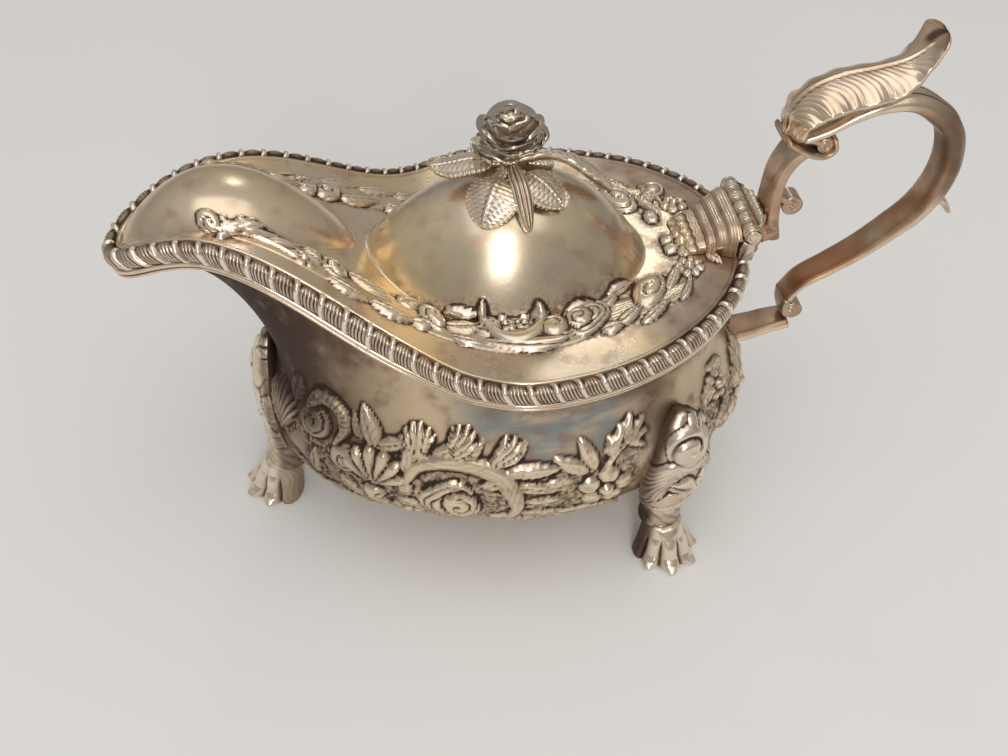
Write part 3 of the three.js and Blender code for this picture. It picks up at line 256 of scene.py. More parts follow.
def ridge(p, q, line, wide, high, ribs=0.0, lines=0):
    """Rounded ridge along a line of points that may change its width: half an ellipse over the distance
    from the line, with cross ribs a pitch apart or fine lengthwise lines if asked for."""
    line = np.asarray(line, float)
    half_wide = np.interp(np.linspace(0, 1, len(line)), np.linspace(0, 1, len(wide)), wide) / 2
    start, step = line[:-1], np.diff(line, axis=0)
    steps = np.linalg.norm(step, axis=-1)
    to = np.stack([p, q], -1)[..., None, :] - start
    share = np.clip((to * step).sum(-1) / np.maximum(steps**2, 1e-9), 0, 1)
    gap = np.linalg.norm(to - share[..., None] * step, axis=-1)
    ratio = gap / (half_wide[:-1] + share * np.diff(half_wide))
    best = np.argmin(ratio, axis=-1)
    ratio, share = (np.take_along_axis(grid, best[..., None], -1)[..., 0] for grid in (ratio, share))
    height = high * half_round(ratio) * (1 - 0.14 * (lines > 0) * np.cos(np.pi * lines * ratio) ** 2)
    if ribs:
        along = np.concatenate([[0], np.cumsum(steps)])[best] + share * steps[best]
        height *= 1 - 0.24 * np.clip(np.cos(2 * np.pi * along / ribs), 0, 1) ** 2
    return height


def boss(p, q, size, high=2.0):
    """Round boss in a ring: a dome, a groove and a narrow ring."""
    far = np.hypot(p, q) / size
    return np.maximum(high * half_round(far / 0.68), 0.55 * high * half_round((far - 0.86) / 0.14))


def fan(p, q, size, count=7, spread=60, high=1.5, curl=0.0):
    """Shell, tulip or acanthus lobe: petals side by side that open from a root towards p, each half a
    round bar with a rounded end, and may all bend to one side."""
    q = q - curl * p * abs(p) / size
    far, around = np.hypot(p, q) / size, np.degrees(np.arctan2(q, p)) / spread
    slot = (around * count / 2) % 1 * 2 - 1
    end = 1 - 0.24 * abs(around) - 0.2 * slot**2
    rise = np.clip((end - far) / 0.12, 0, 1) ** 0.5
    root = 0.45 + 0.55 * np.clip(far / 0.6, 0, 1)
    return high * half_round(slot * 0.94) * (abs(around) < 1) * rise * root


def spray(p, q, line, tips, wide=2.6, high=1.4):
    """Acanthus: a bent stem with pairs of narrow blades that curl away from it. Each tip is the end of a
    pair's longer blade, and its root lies on the stem where the stem passes it a little earlier."""
    line = np.asarray(line, float)
    height = ridge(p, q, even(line, 14), (1.8, 1.4, 0.6), high * 0.9)
    for x, y in tips:
        root = line[max(np.argmin(np.hypot(*(line - (x, y)).T)) - 1, 0)]
        length, angle = np.hypot(x - root[0], y - root[1]), np.arctan2(y - root[1], x - root[0])
        for swing, part in ((0, 1.1), (0.5, 0.72)):
            c, s = np.cos(angle + swing), np.sin(angle + swing)
            a, b = (p - root[0]) * c + (q - root[1]) * s, (q - root[1]) * c - (p - root[0]) * s
            blade_wide = min(wide, length * 0.55) * (0.35 + 0.45 * part)
            height = np.maximum(height, leaf(a, b, length * part, blade_wide, -0.2, high * part, rib=9))
    return height


def emboss(height, u, v, ornaments):
    """Lays ornaments on a chart of the surface: each row is a shape, its place, its turn in degrees and
    the sizes that its function takes. It is worked out near its place only, and the higher of two that
    overlap wins."""
    for shape, x, y, turn, *sizes in ornaments:
        reach = 1.5 * np.abs(sizes[0]).max()
        near = (abs(u - x) < reach) & (abs(v - y) < reach)
        c, s = np.cos(np.radians(turn)), np.sin(np.radians(turn))
        p, q = (u[near] - x) * c + (v[near] - y) * s, (v[near] - y) * c - (u[near] - x) * s
        height[near] = np.maximum(height[near], shape(p, q, *sizes))
    return height


def blurred(height, count):
    """Average over neighbours, taken over and over."""
    for _ in range(count):
        height = (np.roll(height, 1, 1) + height + np.roll(height, -1, 1)) / 3
        height = (np.vstack([height[:1], height[:-1]]) + height + np.vstack([height[1:], height[-1:]])) / 3
    return height


# Chart of the band on one side: distance round the belly from the spout, distance above the belly along the
# wall. A leaf's row ends with length, width, bend, height, teeth and rib, and the other rows follow their
# functions
BAND = [
    (fan, 13, -3, 84, 20, 9, 34, 1.2),
    (leaf, 20, 13, 78, 11, 6.5, -0.15, 1.3, 5),
    (leaf, 26, -9, 64, 13, 4.6, 0.2, 1.3, 6),
    (swirl, 28.6, 12, 0, 5.2, 2.3, 2, 1.9),
    (ridge, 33.4, 14, 0, even([(-4, -6), (-6.4, 1), (-2, 6.6), (3.4, 5.4), (5, 0), (2.6, -5)], 24),
     (1.2, 3.4, 4.6, 4.4, 1.4), 2.2, 1.25),
    (leaf, 47, 11.4, 106, 12.5, 6.2, -0.08, 1.9, 0, 2.1),
    (leaf, 43.2, 12.4, 118, 8, 3.4, -0.2),
    (swirl, 38.6, 5, 0, 4.4, 1.8, 0.6, 1.6),
    (leaf, 46.2, 12, 14, 12, 4.4, 0.12, 1.5),
    (fan, 46.4, -0.5, 84, 13.5, 6, 66, 2.1),
    (swirl, 46, -4, 0, 2.9, 2.3, 0, 0.01),
    (leaf, 36, -3, -40, 10, 4.4, -0.2, 1.3, 5),
    (leaf, 51.5, -4.5, -24, 8, 4.2, 0.2, 1.3, 4),
    (flower, 54.4, -8.6, 0, 4.2, 5, 1.4),
    (leaf, 55, -2.6, 96, 7.6, 4.2, -0.1, 1.5, 4),
    (leaf, 41, -9.6, -8, 9, 4.2, 0.2, 1.3, 5),
    (leaf, 73.8, 3.4, 24, 8, 4.4, -0.16, 1.5, 4),
    (leaf, 74.6, -11, 6, 8, 4.2, 0.12, 1.4, 4),
    (leaf, 54.6, 6, 74, 9.6, 4, 0.1, 1.6, 5),
    (fan, 58.8, 9, 98, 13.4, 5, 29, 2, -0.16),
    (leaf, 61.6, 10.6, 62, 8.4, 2.4, -0.3),
    (fan, 62.6, 10.4, 34, 15.6, 5, 23, 2, 0.2),
    (leaf, 69.6, 11, 32, 8.8, 2.4, 0.34),
    (fan, 74, 9, 27, 14.2, 4, 22, 1.9, 0.22),
    (leaf, 81.6, 11, 34, 7.6, 2.2, 0.34, 1.2),
    (ridge, 55, 3.4, 0,
     even([(0, 0), (3.4, 5.4), (9.4, 7.4), (17, 6.8), (23.5, 3.2), (26.6, -3.4), (26.8, -10.4),
           (24, -15)], 110),
     (2.4, 4.6, 5.4, 5.8, 4.4, 1.6), 1.6, 0, 2),
    (rose, 65.8, -2.4, 0, 7.6, 3.1),
    (leaf, 57.6, 1.6, -72, 8.5, 4.6, 0.16, 1.3, 4),
    (leaf, 60.4, -10.5, -12, 9.5, 3.8, 0.2, 1.3, 5),
    (leaf, 79.4, 7.8, 2, 14.6, 5.2, -0.06, 1.8, 7, 1.1),
    (leaf, 81.5, 3, -6, 12.4, 4.4, -0.12, 1.3, 8, 1.1),
    (fan, 82.4, -3.2, 10, 12.4, 3, 15, 1.7, -0.2),
    (leaf, 82.6, -9, -14, 12, 3.8, 0.14, 1.3, 6),
    (flower, 84.6, -15.4, 0, 3.8, 5, 1.3, 0.3, 0.5),
    (flower, 105, -2.4, 0, 7.4, 5, 2.2, 0.29, 0.5),
    (leaf, 100.4, 4.6, 140, 10.2, 4.6, 0.06, 1.5, 0, 1.3),
    (leaf, 102.8, 5, 108, 10.8, 4.4, -0.05, 1.5, 0, 1.3),
    (leaf, 95.6, 3, 172, 7, 3.2, 0.2),
    (spray, 0, 0, 0, [(104.6, 4), (107.6, 7.4), (111.6, 10.4), (115.4, 12.6)],
     [(107.4, 13), (110.6, 16.2), (114, 18.6), (117.6, 16.8), (118.4, 13), (117.4, 8.8)], 3, 1.6),
    (ridge, 90, -12.4, 0, even([(-7, -2.4), (0, 0.8), (9, 1.6), (17, -0.4), (21, -3.4)], 20),
     (0.8, 1.7, 1.7, 0.9), 1.2),
    (ridge, 90, -15.6, 0, even([(-5, -1.8), (2, 1), (10, 1.2), (18, -1.4)], 20), (0.7, 1.3, 1.3, 0.7), 1),
    (ridge, 30, -13, 0, even([(-14, 4.6), (-6, 0.8), (2, -0.6), (12, 1), (20, 4)], 20), (0.8, 1.8, 1.8, 0.9),
     1.2),
    (flower, 131.8, 3.4, 0, 6.2, 6, 2.1, 0.34),
    (leaf, 138.4, 8, 40, 9, 4.6, -0.1, 1.3, 5),
    (leaf, 136.6, -4.6, -62, 10, 4.6, 0.15, 1.3, 5),
    (flower, 145.6, 10.6, 0, 4.6, 7, 2.1, 0.36),
    (rose, 147.6, -0.6, 0, 5.6, 2.1),
    (leaf, 152.6, 13.6, 150, 9, 4.2, 0.2, 1.3, 5),
    (leaf, 142.6, -9, -86, 9.5, 4.4, 0.12, 1.3, 5),
    (spray, 0, 0, 0, [(152.6, -4.6), (156, 1), (160.4, 5.4), (165.6, 7.6)],
     [(154.4, 7.6), (158.2, 12), (163.2, 14), (168.4, 12.4), (168.6, 6.4)], 3.2, 1.7),
    (flower, 161.6, -1.6, 0, 5, 5, 1.9, 0.32),
    (rose, 169.4, -4, 0, 4.6, 1.8),
    (leaf, 173.6, 8, 90, 11, 6, 0, 1.5, 6),
    (leaf, 155, -10.6, 10, 12, 4, 0.14, 1.3, 6),
]


def surface(name, grids, body, node, finish, ring=False, seam=False, **marks):
    """Closed skin over one or more grids of points (rows, places round, 3) in millimetres. Each row is
    closed on itself. The first and the last row are closed by a fan, or meet where the rows run in a
    ring, or are folded on a line where a seam joins the points that coincide. Marks are numbers for each
    point that the finish reads."""
    grids = grids if isinstance(grids, list) else [grids]
    fans = not ring and not seam
    places, faces, count = [], [], 0
    for points in grids:
        rows, across = points.shape[:2]
        flat = points.reshape(-1, 3)
        index = np.arange(rows * across).reshape(rows, across)
        if ring:
            index = np.vstack([index, index[:1]])
        beside = np.roll(index, -1, axis=1)
        quads = np.stack([index[:-1], beside[:-1], beside[1:], index[1:]], -1).reshape(-1, 4)
        corner = [flat[quads[:, k]] - flat.mean(0) for k in range(3)]
        inside_out = np.einsum("ij,ij->", corner[0], np.cross(corner[1], corner[2])) < 0
        found = quads.tolist()
        if fans:
            for k, edge in enumerate((index[0][::-1], index[-1])):
                tip = np.full(across, rows * across + k)
                found += np.stack([edge, np.roll(edge, -1), tip], -1).tolist()
            flat = np.vstack([flat, flat[:across].mean(0), flat[-across:].mean(0)])
        faces += [[count + k for k in (face[::-1] if inside_out else face)] for face in found]
        places.append(flat)
        count += len(flat)
    places = np.vstack(places)
    kept = np.arange(len(places))
    if seam:
        _, kept, same = np.unique(places.round(4), axis=0, return_index=True, return_inverse=True)
        same = same.ravel()
        faces = [list(dict.fromkeys(same[face].tolist())) for face in faces]
        faces = [face for face in faces if len(face) > 2]
    data = bpy.data.meshes.new(name)
    data.from_pydata((places[kept] - (ZERO_OF_SOLIDS, 0, 0)) * 0.001, [], faces)
    for mark, values in marks.items():
        values = values if isinstance(values, list) else [values]
        whole = [np.append(v.ravel(), [v[0].mean(), v[-1].mean()] if fans else []) for v in values]
        layer = data.attributes.new(mark, "FLOAT", "POINT")
        layer.data.foreach_set("value", np.concatenate(whole)[kept].astype(np.float32))
    data.shade_smooth()
    data.update()
    piece = bpy.data.objects.new(name, data)
    bpy.context.collection.objects.link(piece)
    data.materials.append(FINISHES[finish])
    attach(piece, body)
    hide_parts(node)


def tarnish_group():
    """Old silver: a warm bloom in broad patches, red-brown stain in mottles, a coloured tint where it is so
    marked, which is partly a thin film and partly painted reflection, black oxide where it is marked hollow
    or stippled, painted shade in the stain and oxide colours where it is marked shade, bare metal where it is
    marked proud, and fine scratches from polishing."""
    group = bpy.data.node_groups.new("tarnish", "ShaderNodeTree")
    for kind, name, value in (
        ("Color", "Metal", (0.86, 0.82, 0.74, 1)), ("Color", "Bloom", (0.8, 0.66, 0.42, 1)),
        ("Color", "Stain", (0.4, 0.25, 0.19, 1)), ("Color", "Oxide", (0.06, 0.038, 0.03, 1)),
        ("Color", "Film", (0.42, 0.5, 0.5, 1)), ("Color", "Bare", (0.94, 0.85, 0.72, 1)),
        ("Float", "Bloom share", 0.6), ("Float", "Stain share", 0.4), ("Float", "Oxide share", 1.0),
        ("Float", "Shine", 0.2),
    ):
        socket = group.interface.new_socket(name, in_out="INPUT", socket_type="NodeSocket" + kind)
        socket.default_value = value
    for kind, name in (("Color", "Color"), ("Float", "Roughness"), ("Float", "Height")):
        group.interface.new_socket(name, in_out="OUTPUT", socket_type="NodeSocket" + kind)
    nodes, links = group.nodes, group.links
    given, result = nodes.new("NodeGroupInput").outputs, nodes.new("NodeGroupOutput").inputs
    spot = nodes.new("ShaderNodeTexCoord").outputs["Object"]

    def noise(scale, detail, stretch=None):
        source = spot
        if stretch:
            turned = nodes.new("ShaderNodeMapping")
            turned.inputs["Scale"].default_value = stretch
            turned.inputs["Rotation"].default_value = (0.5, 0.3, 0.4)
            links.new(spot, turned.inputs["Vector"])
            source = turned.outputs[0]
        node = nodes.new("ShaderNodeTexNoise")
        node.inputs["Scale"].default_value = scale
        node.inputs["Detail"].default_value = detail
        links.new(source, node.inputs["Vector"])
        return node.outputs["Fac"]

    def spread(value, low, high, top=1.0):
        node = nodes.new("ShaderNodeMapRange")
        node.interpolation_type = "SMOOTHSTEP"
        for name, number in (("From Min", low), ("From Max", high), ("To Min", 0.0), ("To Max", top)):
            node.inputs[name].default_value = number
        links.new(value, node.inputs["Value"])
        return node.outputs["Result"]

    def reckon(kind, a, b):
        node = nodes.new("ShaderNodeMath")
        node.operation = kind
        for socket, value in zip(node.inputs, (a, b)):
            if isinstance(value, (int, float)):
                socket.default_value = value
            else:
                links.new(value, socket)
        return node.outputs[0]

    def plus(a, b):
        return reckon("ADD", a, b)

    def times(a, b):
        return reckon("MULTIPLY", a, b)

    def over(share, low, high):
        node = nodes.new("ShaderNodeMix")
        node.data_type = "RGBA"
        for name, source in (("Factor", share), ("A", low), ("B", high)):
            links.new(source, node.inputs[name])
        return node.outputs["Result"]

    def mark(name):
        node = nodes.new("ShaderNodeAttribute")
        node.attribute_name = name
        return node.outputs["Fac"]

    hollow, proud, ground, film, shade = map(mark, ("hollow", "proud", "ground", "film", "shade"))
    broad, mottle, speck = noise(38, 3), noise(170, 5), noise(900, 3)
    color = over(times(spread(broad, 0.36, 0.62), given["Bloom share"]), given["Metal"], given["Bloom"])
    # Film mark: a tint in patches, partly a thin tarnish film and partly painted reflection of the
    # surroundings.
    patches = spread(noise(60, 4, (1, 1.2, 2.4)), 0.3, 0.6)
    color = over(times(patches, film), color, given["Film"])
    stain_and_shade = plus(spread(mottle, 0.48, 0.72), spread(broad, 0.66, 0.44, 0.5))
    stain_and_shade = plus(times(stain_and_shade, given["Stain share"]), times(hollow, 0.7))
    # Painted shade: the shade mark lays on the stain colour here and the oxide colour below, in mottled
    # patches.
    stain_and_shade = plus(stain_and_shade, times(shade, 0.8))
    not_bare = reckon("SUBTRACT", 1.0, times(proud, 0.85))
    stain_and_shade = reckon("MINIMUM", times(stain_and_shade, not_bare), 0.95)
    color = over(times(proud, 0.7), color, given["Bare"])
    color = over(stain_and_shade, color, given["Stain"])
    dark = plus(spread(hollow, 0.34, 0.95), times(ground, spread(speck, 0.62, 0.4)))
    dark = plus(times(dark, given["Oxide share"]), times(shade, spread(mottle, 0.05, 0.5)))
    dark = reckon("MINIMUM", dark, 0.96)
    links.new(over(dark, color, given["Oxide"]), result["Color"])
    rough = plus(plus(given["Shine"], times(stain_and_shade, 0.16)), times(dark, 0.3))
    links.new(plus(rough, times(speck, 0.06)), result["Roughness"])
    scratches = plus(noise(420, 2, (1, 6, 1)), noise(420, 2, (7, 1, 2)))
    grain = plus(times(scratches, 0.18), times(mottle, 0.35))
    links.new(plus(grain, times(times(speck, ground), 2.4)), result["Height"])
    return group


TARNISH = tarnish_group()
FINISHES = {}


def silver(name, **values):
    """Metal finish that takes its colour, roughness and fine grain from the tarnish group."""
    material = bpy.data.materials.new(name)
    material.use_nodes = True
    nodes, links = material.node_tree.nodes, material.node_tree.links
    shader = nodes["Principled BSDF"]
    shader.inputs["Metallic"].default_value = 0.9
    effect = nodes.new("ShaderNodeGroup")
    effect.node_tree = TARNISH
    for key, value in values.items():
        effect.inputs[key.replace("_", " ").capitalize()].default_value = value
    bump = nodes.new("ShaderNodeBump")
    bump.inputs["Strength"].default_value = 0.28
    bump.inputs["Distance"].default_value = 0.00012
    links.new(effect.outputs["Color"], shader.inputs["Base Color"])
    links.new(effect.outputs["Roughness"], shader.inputs["Roughness"])
    links.new(effect.outputs["Height"], bump.inputs["Height"])
    links.new(bump.outputs["Normal"], shader.inputs["Normal"])
    FINISHES[name] = material


# Film colours: a painted blue-grey reflection on the bowl's wall, a painted amber reflection on the handle, a
# grey tint on the lid.
silver("chased_silver", metal=(0.78, 0.64, 0.47, 1), bloom=(0.6, 0.46, 0.29, 1), stain=(0.3, 0.18, 0.12, 1),
       film=(0.24, 0.31, 0.32, 1), bare=(0.93, 0.79, 0.6, 1), bloom_share=0.7, stain_share=0.62, shine=0.22)
silver("cast_silver", metal=(0.88, 0.76, 0.6, 1), bloom=(0.7, 0.54, 0.36, 1), stain=(0.3, 0.18, 0.12, 1),
       film=(0.66, 0.34, 0.16, 1), bloom_share=0.5, stain_share=0.4, shine=0.17)
silver("polished_silver", metal=(0.89, 0.76, 0.59, 1), bloom=(0.74, 0.56, 0.36, 1),
       stain=(0.44, 0.22, 0.11, 1), film=(0.58, 0.22, 0.09, 1), bloom_share=0.45, stain_share=0.3, shine=0.16)
silver("lid_silver", metal=(0.9, 0.76, 0.56, 1), bloom=(0.82, 0.62, 0.34, 1), stain=(0.46, 0.28, 0.21, 1),
       film=(0.5, 0.5, 0.42, 1), bloom_share=0.7, stain_share=0.42, oxide_share=0.9, shine=0.19)
silver("finial_silver", metal=(0.96, 0.86, 0.7, 1), bloom=(0.76, 0.6, 0.42, 1), stain=(0.3, 0.18, 0.13, 1),
       bloom_share=0.45, stain_share=0.3, oxide_share=0.8, shine=0.2)


def hollows(height, small, large):
    """Marks for the finish: how far a place lies below the average round it, near and wide, and how far
    above."""
    near, wide = blurred(height, small) - height, blurred(height, large) - height
    hollow = np.clip(near / 0.28, 0, 1) * 0.6 + np.clip(wide / 0.75, 0, 1) * np.where(height > 0.7, 0.5, 0.2)
    proud = np.clip(-near / 0.2, 0, 1) * 0.7 + np.clip(-wide / 0.9, 0, 1) * 0.5
    return np.clip(hollow, 0, 1), np.clip(proud, 0, 1)


def steps(*stops):
    """Places from the first stop to the last, with the given number of places up to each further stop."""
    parts = [np.linspace(low, high, count) for (low, _), (high, count) in zip(stops, stops[1:])]
    return np.concatenate([part[:-1] for part in parts[:-1]] + parts[-1:])


# The near half is dressed from the spout (t is 0) to the hinge (t is a half) and mirrored to the far half
ROUND = 620
t = np.arange(ROUND) / ROUND
half = t[: ROUND // 2 + 1]
mirror = np.minimum(np.arange(ROUND), ROUND - np.arange(ROUND))
down = steps((0, 0), (0.27, 14), (0.8, 98), (0.985, 14))
skin = wall(t, down)
belly = level(1, np.append(t, 1.0))
belly_run = np.concatenate([[0], np.cumsum(np.linalg.norm(np.diff(belly, axis=0), axis=1))])
round_belly = np.broadcast_to(belly_run[: len(half)], (len(down), len(half)))
above_belly = -runs(skin, int(np.argmin(abs(down - 0.5))))[:, : len(half)]
relief = emboss(np.zeros(round_belly.shape), round_belly, above_belly, BAND)[:, mirror]
u, v = round_belly[:, mirror], above_belly[:, mirror]
band = ease((v + 20) / 4) * ease((11 - v) / 7)
small_leaves = np.sin(1.25 * u + 2.2 * np.sin(0.6 * v)) * np.sin(1.05 * v + 1.8 * np.sin(0.45 * u))
small_leaves = 0.26 + 0.19 * small_leaves + 0.05 * np.cos(2 * np.pi * (0.75 * u + 0.5 * np.sin(0.8 * v)))
relief = np.maximum(relief, band * small_leaves * ease(blurred(relief, 14) / 0.3))
hollow, proud = hollows(relief, 2, 12)
ground = 0.8 * band * (1 - ease((relief - 0.2) / 0.35)) * ease(blurred(relief, 14) / 0.25)
# Painted shade and painted reflection: the plain wall is darkened towards the spout and in a stretch nearer
# the rear, most just under the border, and between them it is tinted blue-grey off the ornament as a painted
# reflection.
back = skin[..., 0] / LENGTH
under_border = ease((v - 6) / 8)
shadow = 0.95 * ease((0.46 - back) / 0.24) * (0.4 + 0.6 * under_border)
shadow = np.maximum(shadow, 0.5 * ease((back - 0.74) / 0.12) * ease((0.9 - back) / 0.1) * under_border)
film = ease((back - 0.46) / 0.1) * ease((0.84 - back) / 0.1) * ease((v - 2) / 8) * (1 - ease(relief / 0.3))
outer = skin + outward(skin, skin.mean((0, 1))) * (relief - 0.12 * ground)[..., None]
inner = wall(t, np.linspace(0, 0.985, 26))
inner = inner - outward(inner, skin.mean((0, 1))) * SHEET
inner[0] = rim(t, -SHEET)[0]
plain = np.zeros(inner.shape[:2])
surface(
    "boat_wall", np.vstack([inner[::-1], outer]), "boat", "boat_body", "chased_silver",
    hollow=np.vstack([plain + 0.12, np.clip(1.25 * hollow, 0, 1)]), proud=np.vstack([plain, proud]),
    ground=np.vstack([plain, ground]), shade=np.vstack([plain, shadow]), film=np.vstack([plain, film]),
)

# Gadrooned border
# A cast strip soldered round the rim: in each pitch one plain upright lobe, then a cushion cut into five
# curved flutes. It stops short of the hinge.
PITCH, PLAIN_SHARE, FLUTES = 5.4, 0.26, 5
KNUCKLES, KNUCKLE, KNUCKLE_GAP = 5, 4.2, 0.3
BARREL = KNUCKLES * KNUCKLE + (KNUCKLES - 1) * KNUCKLE_GAP


def lean(t):
    """How far the wall moves outwards for each millimetre below the rim."""
    place, way, lift = rim(t)
    fall = wall(t, np.array([1 / 15]))[0] - place  # the first fifteenth of the way down
    return -(fall * way).sum(-1) / (fall * lift).sum(-1)


def along_rim(t, out, up):
    """A section carried along the rim: each of its points lies level outwards and square upwards from the
    rim."""
    base, way, lift = rim(t)
    return base[:, None] + way[:, None] * out[..., None] + lift[:, None] * up[..., None]


# The border ends just short of the barrel, and a whole number of pitches fills its run
HINGE_ROOM = 1.2
free = half[rim(half)[0][:, 1] < -BARREL / 2 - HINGE_ROOM][-1]
lobes = int(round(2 * free * RIM_ROUND / PITCH))
pitches = np.linspace(-lobes / 2, lobes / 2, lobes * 30 + 1)
border_t = pitches / lobes * 2 * free
front = even([(0.35, 1.6), (1.1, 1.95), (2.2, 1.75), (3.0, 0.7), (3.1, -0.9), (3.0, -2.2), (2.5, -3.1)], 25)
fall = np.linspace(0, 1, len(front))
slant = -0.3 * (fall - 0.5) - 0.5 * np.clip(fall - 0.4, 0, 1) ** 2
in_pitch = (pitches[:, None] + slant * np.sign(pitches)[:, None]) % 1
is_plain = in_pitch < PLAIN_SHARE
upright = half_round(in_pitch * 2 / PLAIN_SHARE - 1) * np.sin(np.pi * (0.04 + 0.94 * fall)) ** 0.3
in_cushion = np.clip((in_pitch - PLAIN_SHARE) / (1 - PLAIN_SHARE), 0, 1)
cushion = np.sin(np.pi * in_cushion) ** 0.45 * np.sin(np.pi * (0.02 + 0.96 * fall)) ** 0.55
crest = abs(np.sin(FLUTES * np.pi * in_cushion))
deep = 0.35 + 0.65 * ease((fall - 0.25) / 0.25)
rise = np.where(is_plain, 1.1 * upright, 0.9 * cushion * (1 - (1 - crest) * 0.62 * deep))
# The section: the front raised square to itself, then a plain rear, and all of it pushed out with the wall
square = np.gradient(front, axis=0)
square = np.stack([-square[:, 1], square[:, 0]], -1) / np.linalg.norm(square, axis=1)[:, None]
section = front[None] + square[None] * (rise - 0.55)[..., None]
rear = np.broadcast_to(np.array([(0.35, -2.9), (0.35, -0.6), (0.35, 1.2)]), (len(pitches), 3, 2))
section = np.concatenate([section, rear], axis=1)
out = section[..., 0] + np.clip(lean(border_t), 0, None)[:, None] * (1.7 - section[..., 1])
groove = np.maximum((1 - crest**1.4) * deep * 1.1, (1 - cushion) ** 1.5) + 0.34 * ease((0.42 - fall) / 0.2)
groove = np.where(is_plain, (1 - upright) ** 2, groove)
surface(
    "gadrooned_border", along_rim(border_t, out, section[..., 1]), "boat", "rim_gadroon", "cast_silver",
    hollow=np.concatenate([np.clip(groove, 0, 1), np.full((len(pitches), 3), 0.35)], axis=1),
    proud=np.concatenate([rise * is_plain, np.zeros((len(pitches), 3))], axis=1),
)

# Moulding under the border
# Two half-round silver wires, a thick one over a thin one, soldered to each other and to the wall, all the
# way round under the border.
moulding_t = np.arange(480) / 480
turn = np.radians(np.linspace(100, -80, 13))
thick_wire = np.stack([1.95 + 0.85 * np.cos(turn), -4.0 + 0.8 * np.sin(turn)], -1)
thin_wire = np.stack([1.85 + 0.55 * np.cos(turn), -5.35 + 0.5 * np.sin(turn)], -1)
wires = np.vstack([thick_wire, thin_wire, [(0.9, -5.8), (0.4, -5.9), (0.1, -4.6), (0.4, -3.3)]])
tuck = np.maximum(lean(moulding_t), -0.35)[:, None] * -wires[:, 1] * np.where(wires[:, 0] > 1, 0.4, 1.0)
moulding = along_rim(moulding_t, wires[:, 0] + tuck, wires[:, 1])
valley = bell((wires[:, 1] + 4.83) / 0.2) + (wires[:, 0] < 1.2)
surface("rim_wires", moulding, "boat", "rim_moulding", "polished_silver", ring=True,
        hollow=np.broadcast_to(np.clip(valley, 0, 1), moulding.shape[:2]))

# Lid
# One sheet raised into a hood over the spout and a dome behind it, with a chased wreath between the dome
# and the plain bright edge. Its finish is a warmer, yellower silver than the bowl's.
DOME_X, DOME_LONG, DOME_WIDE, DOME_HIGH = LENGTH * 0.615, LENGTH * 0.458, WIDTH * 0.527, 24.5
HOOD_X, HOOD_LONG, HOOD_WIDE, HOOD_HIGH = SPOUT_END * 0.35, SPOUT_END * 0.675, WIDTH * 0.2646, 7
HINGE_CUT, HINGE_HALF, BEYOND_RIM = 148.3, 12.2, 200


def lid_height(x, y):
    """Top of the lid: it follows the rim, with a hood over the spout and a dome, both flat-topped
    ellipses."""
    in_dome = np.hypot((x - DOME_X) * 2 / DOME_LONG, y * 2 / DOME_WIDE)
    in_hood = np.hypot((x - HOOD_X) * 2 / HOOD_LONG, y * 2 / HOOD_WIDE)
    hood = HOOD_HIGH * np.clip(1 - in_hood**2.4, 0, None) ** 0.7
    return rim_height(x) + 1.2 + DOME_HIGH * np.clip(1 - in_dome**2.6, 0, None) + hood


def lid(t, share, drop=0.0):
    """Lid: straight lines from the middle line out to the rim, laid on the lid's height, cut off at the
    hinge."""
    edge = rim(t, 0.05)[0]
    start = np.clip(edge[:, 0], LENGTH * 0.08, LENGTH * 0.89)
    share = np.reshape(share, (-1, 1))
    y = edge[:, 1] * share
    at_hinge = np.clip((HINGE_HALF - abs(y)) / 0.5, 0, 1)
    cut = HINGE_CUT * at_hinge + BEYOND_RIM * (1 - at_hinge)
    x = np.minimum(start + (edge[:, 0] - start) * share, cut)
    return np.stack([x, y, lid_height(x, y) - drop], -1)


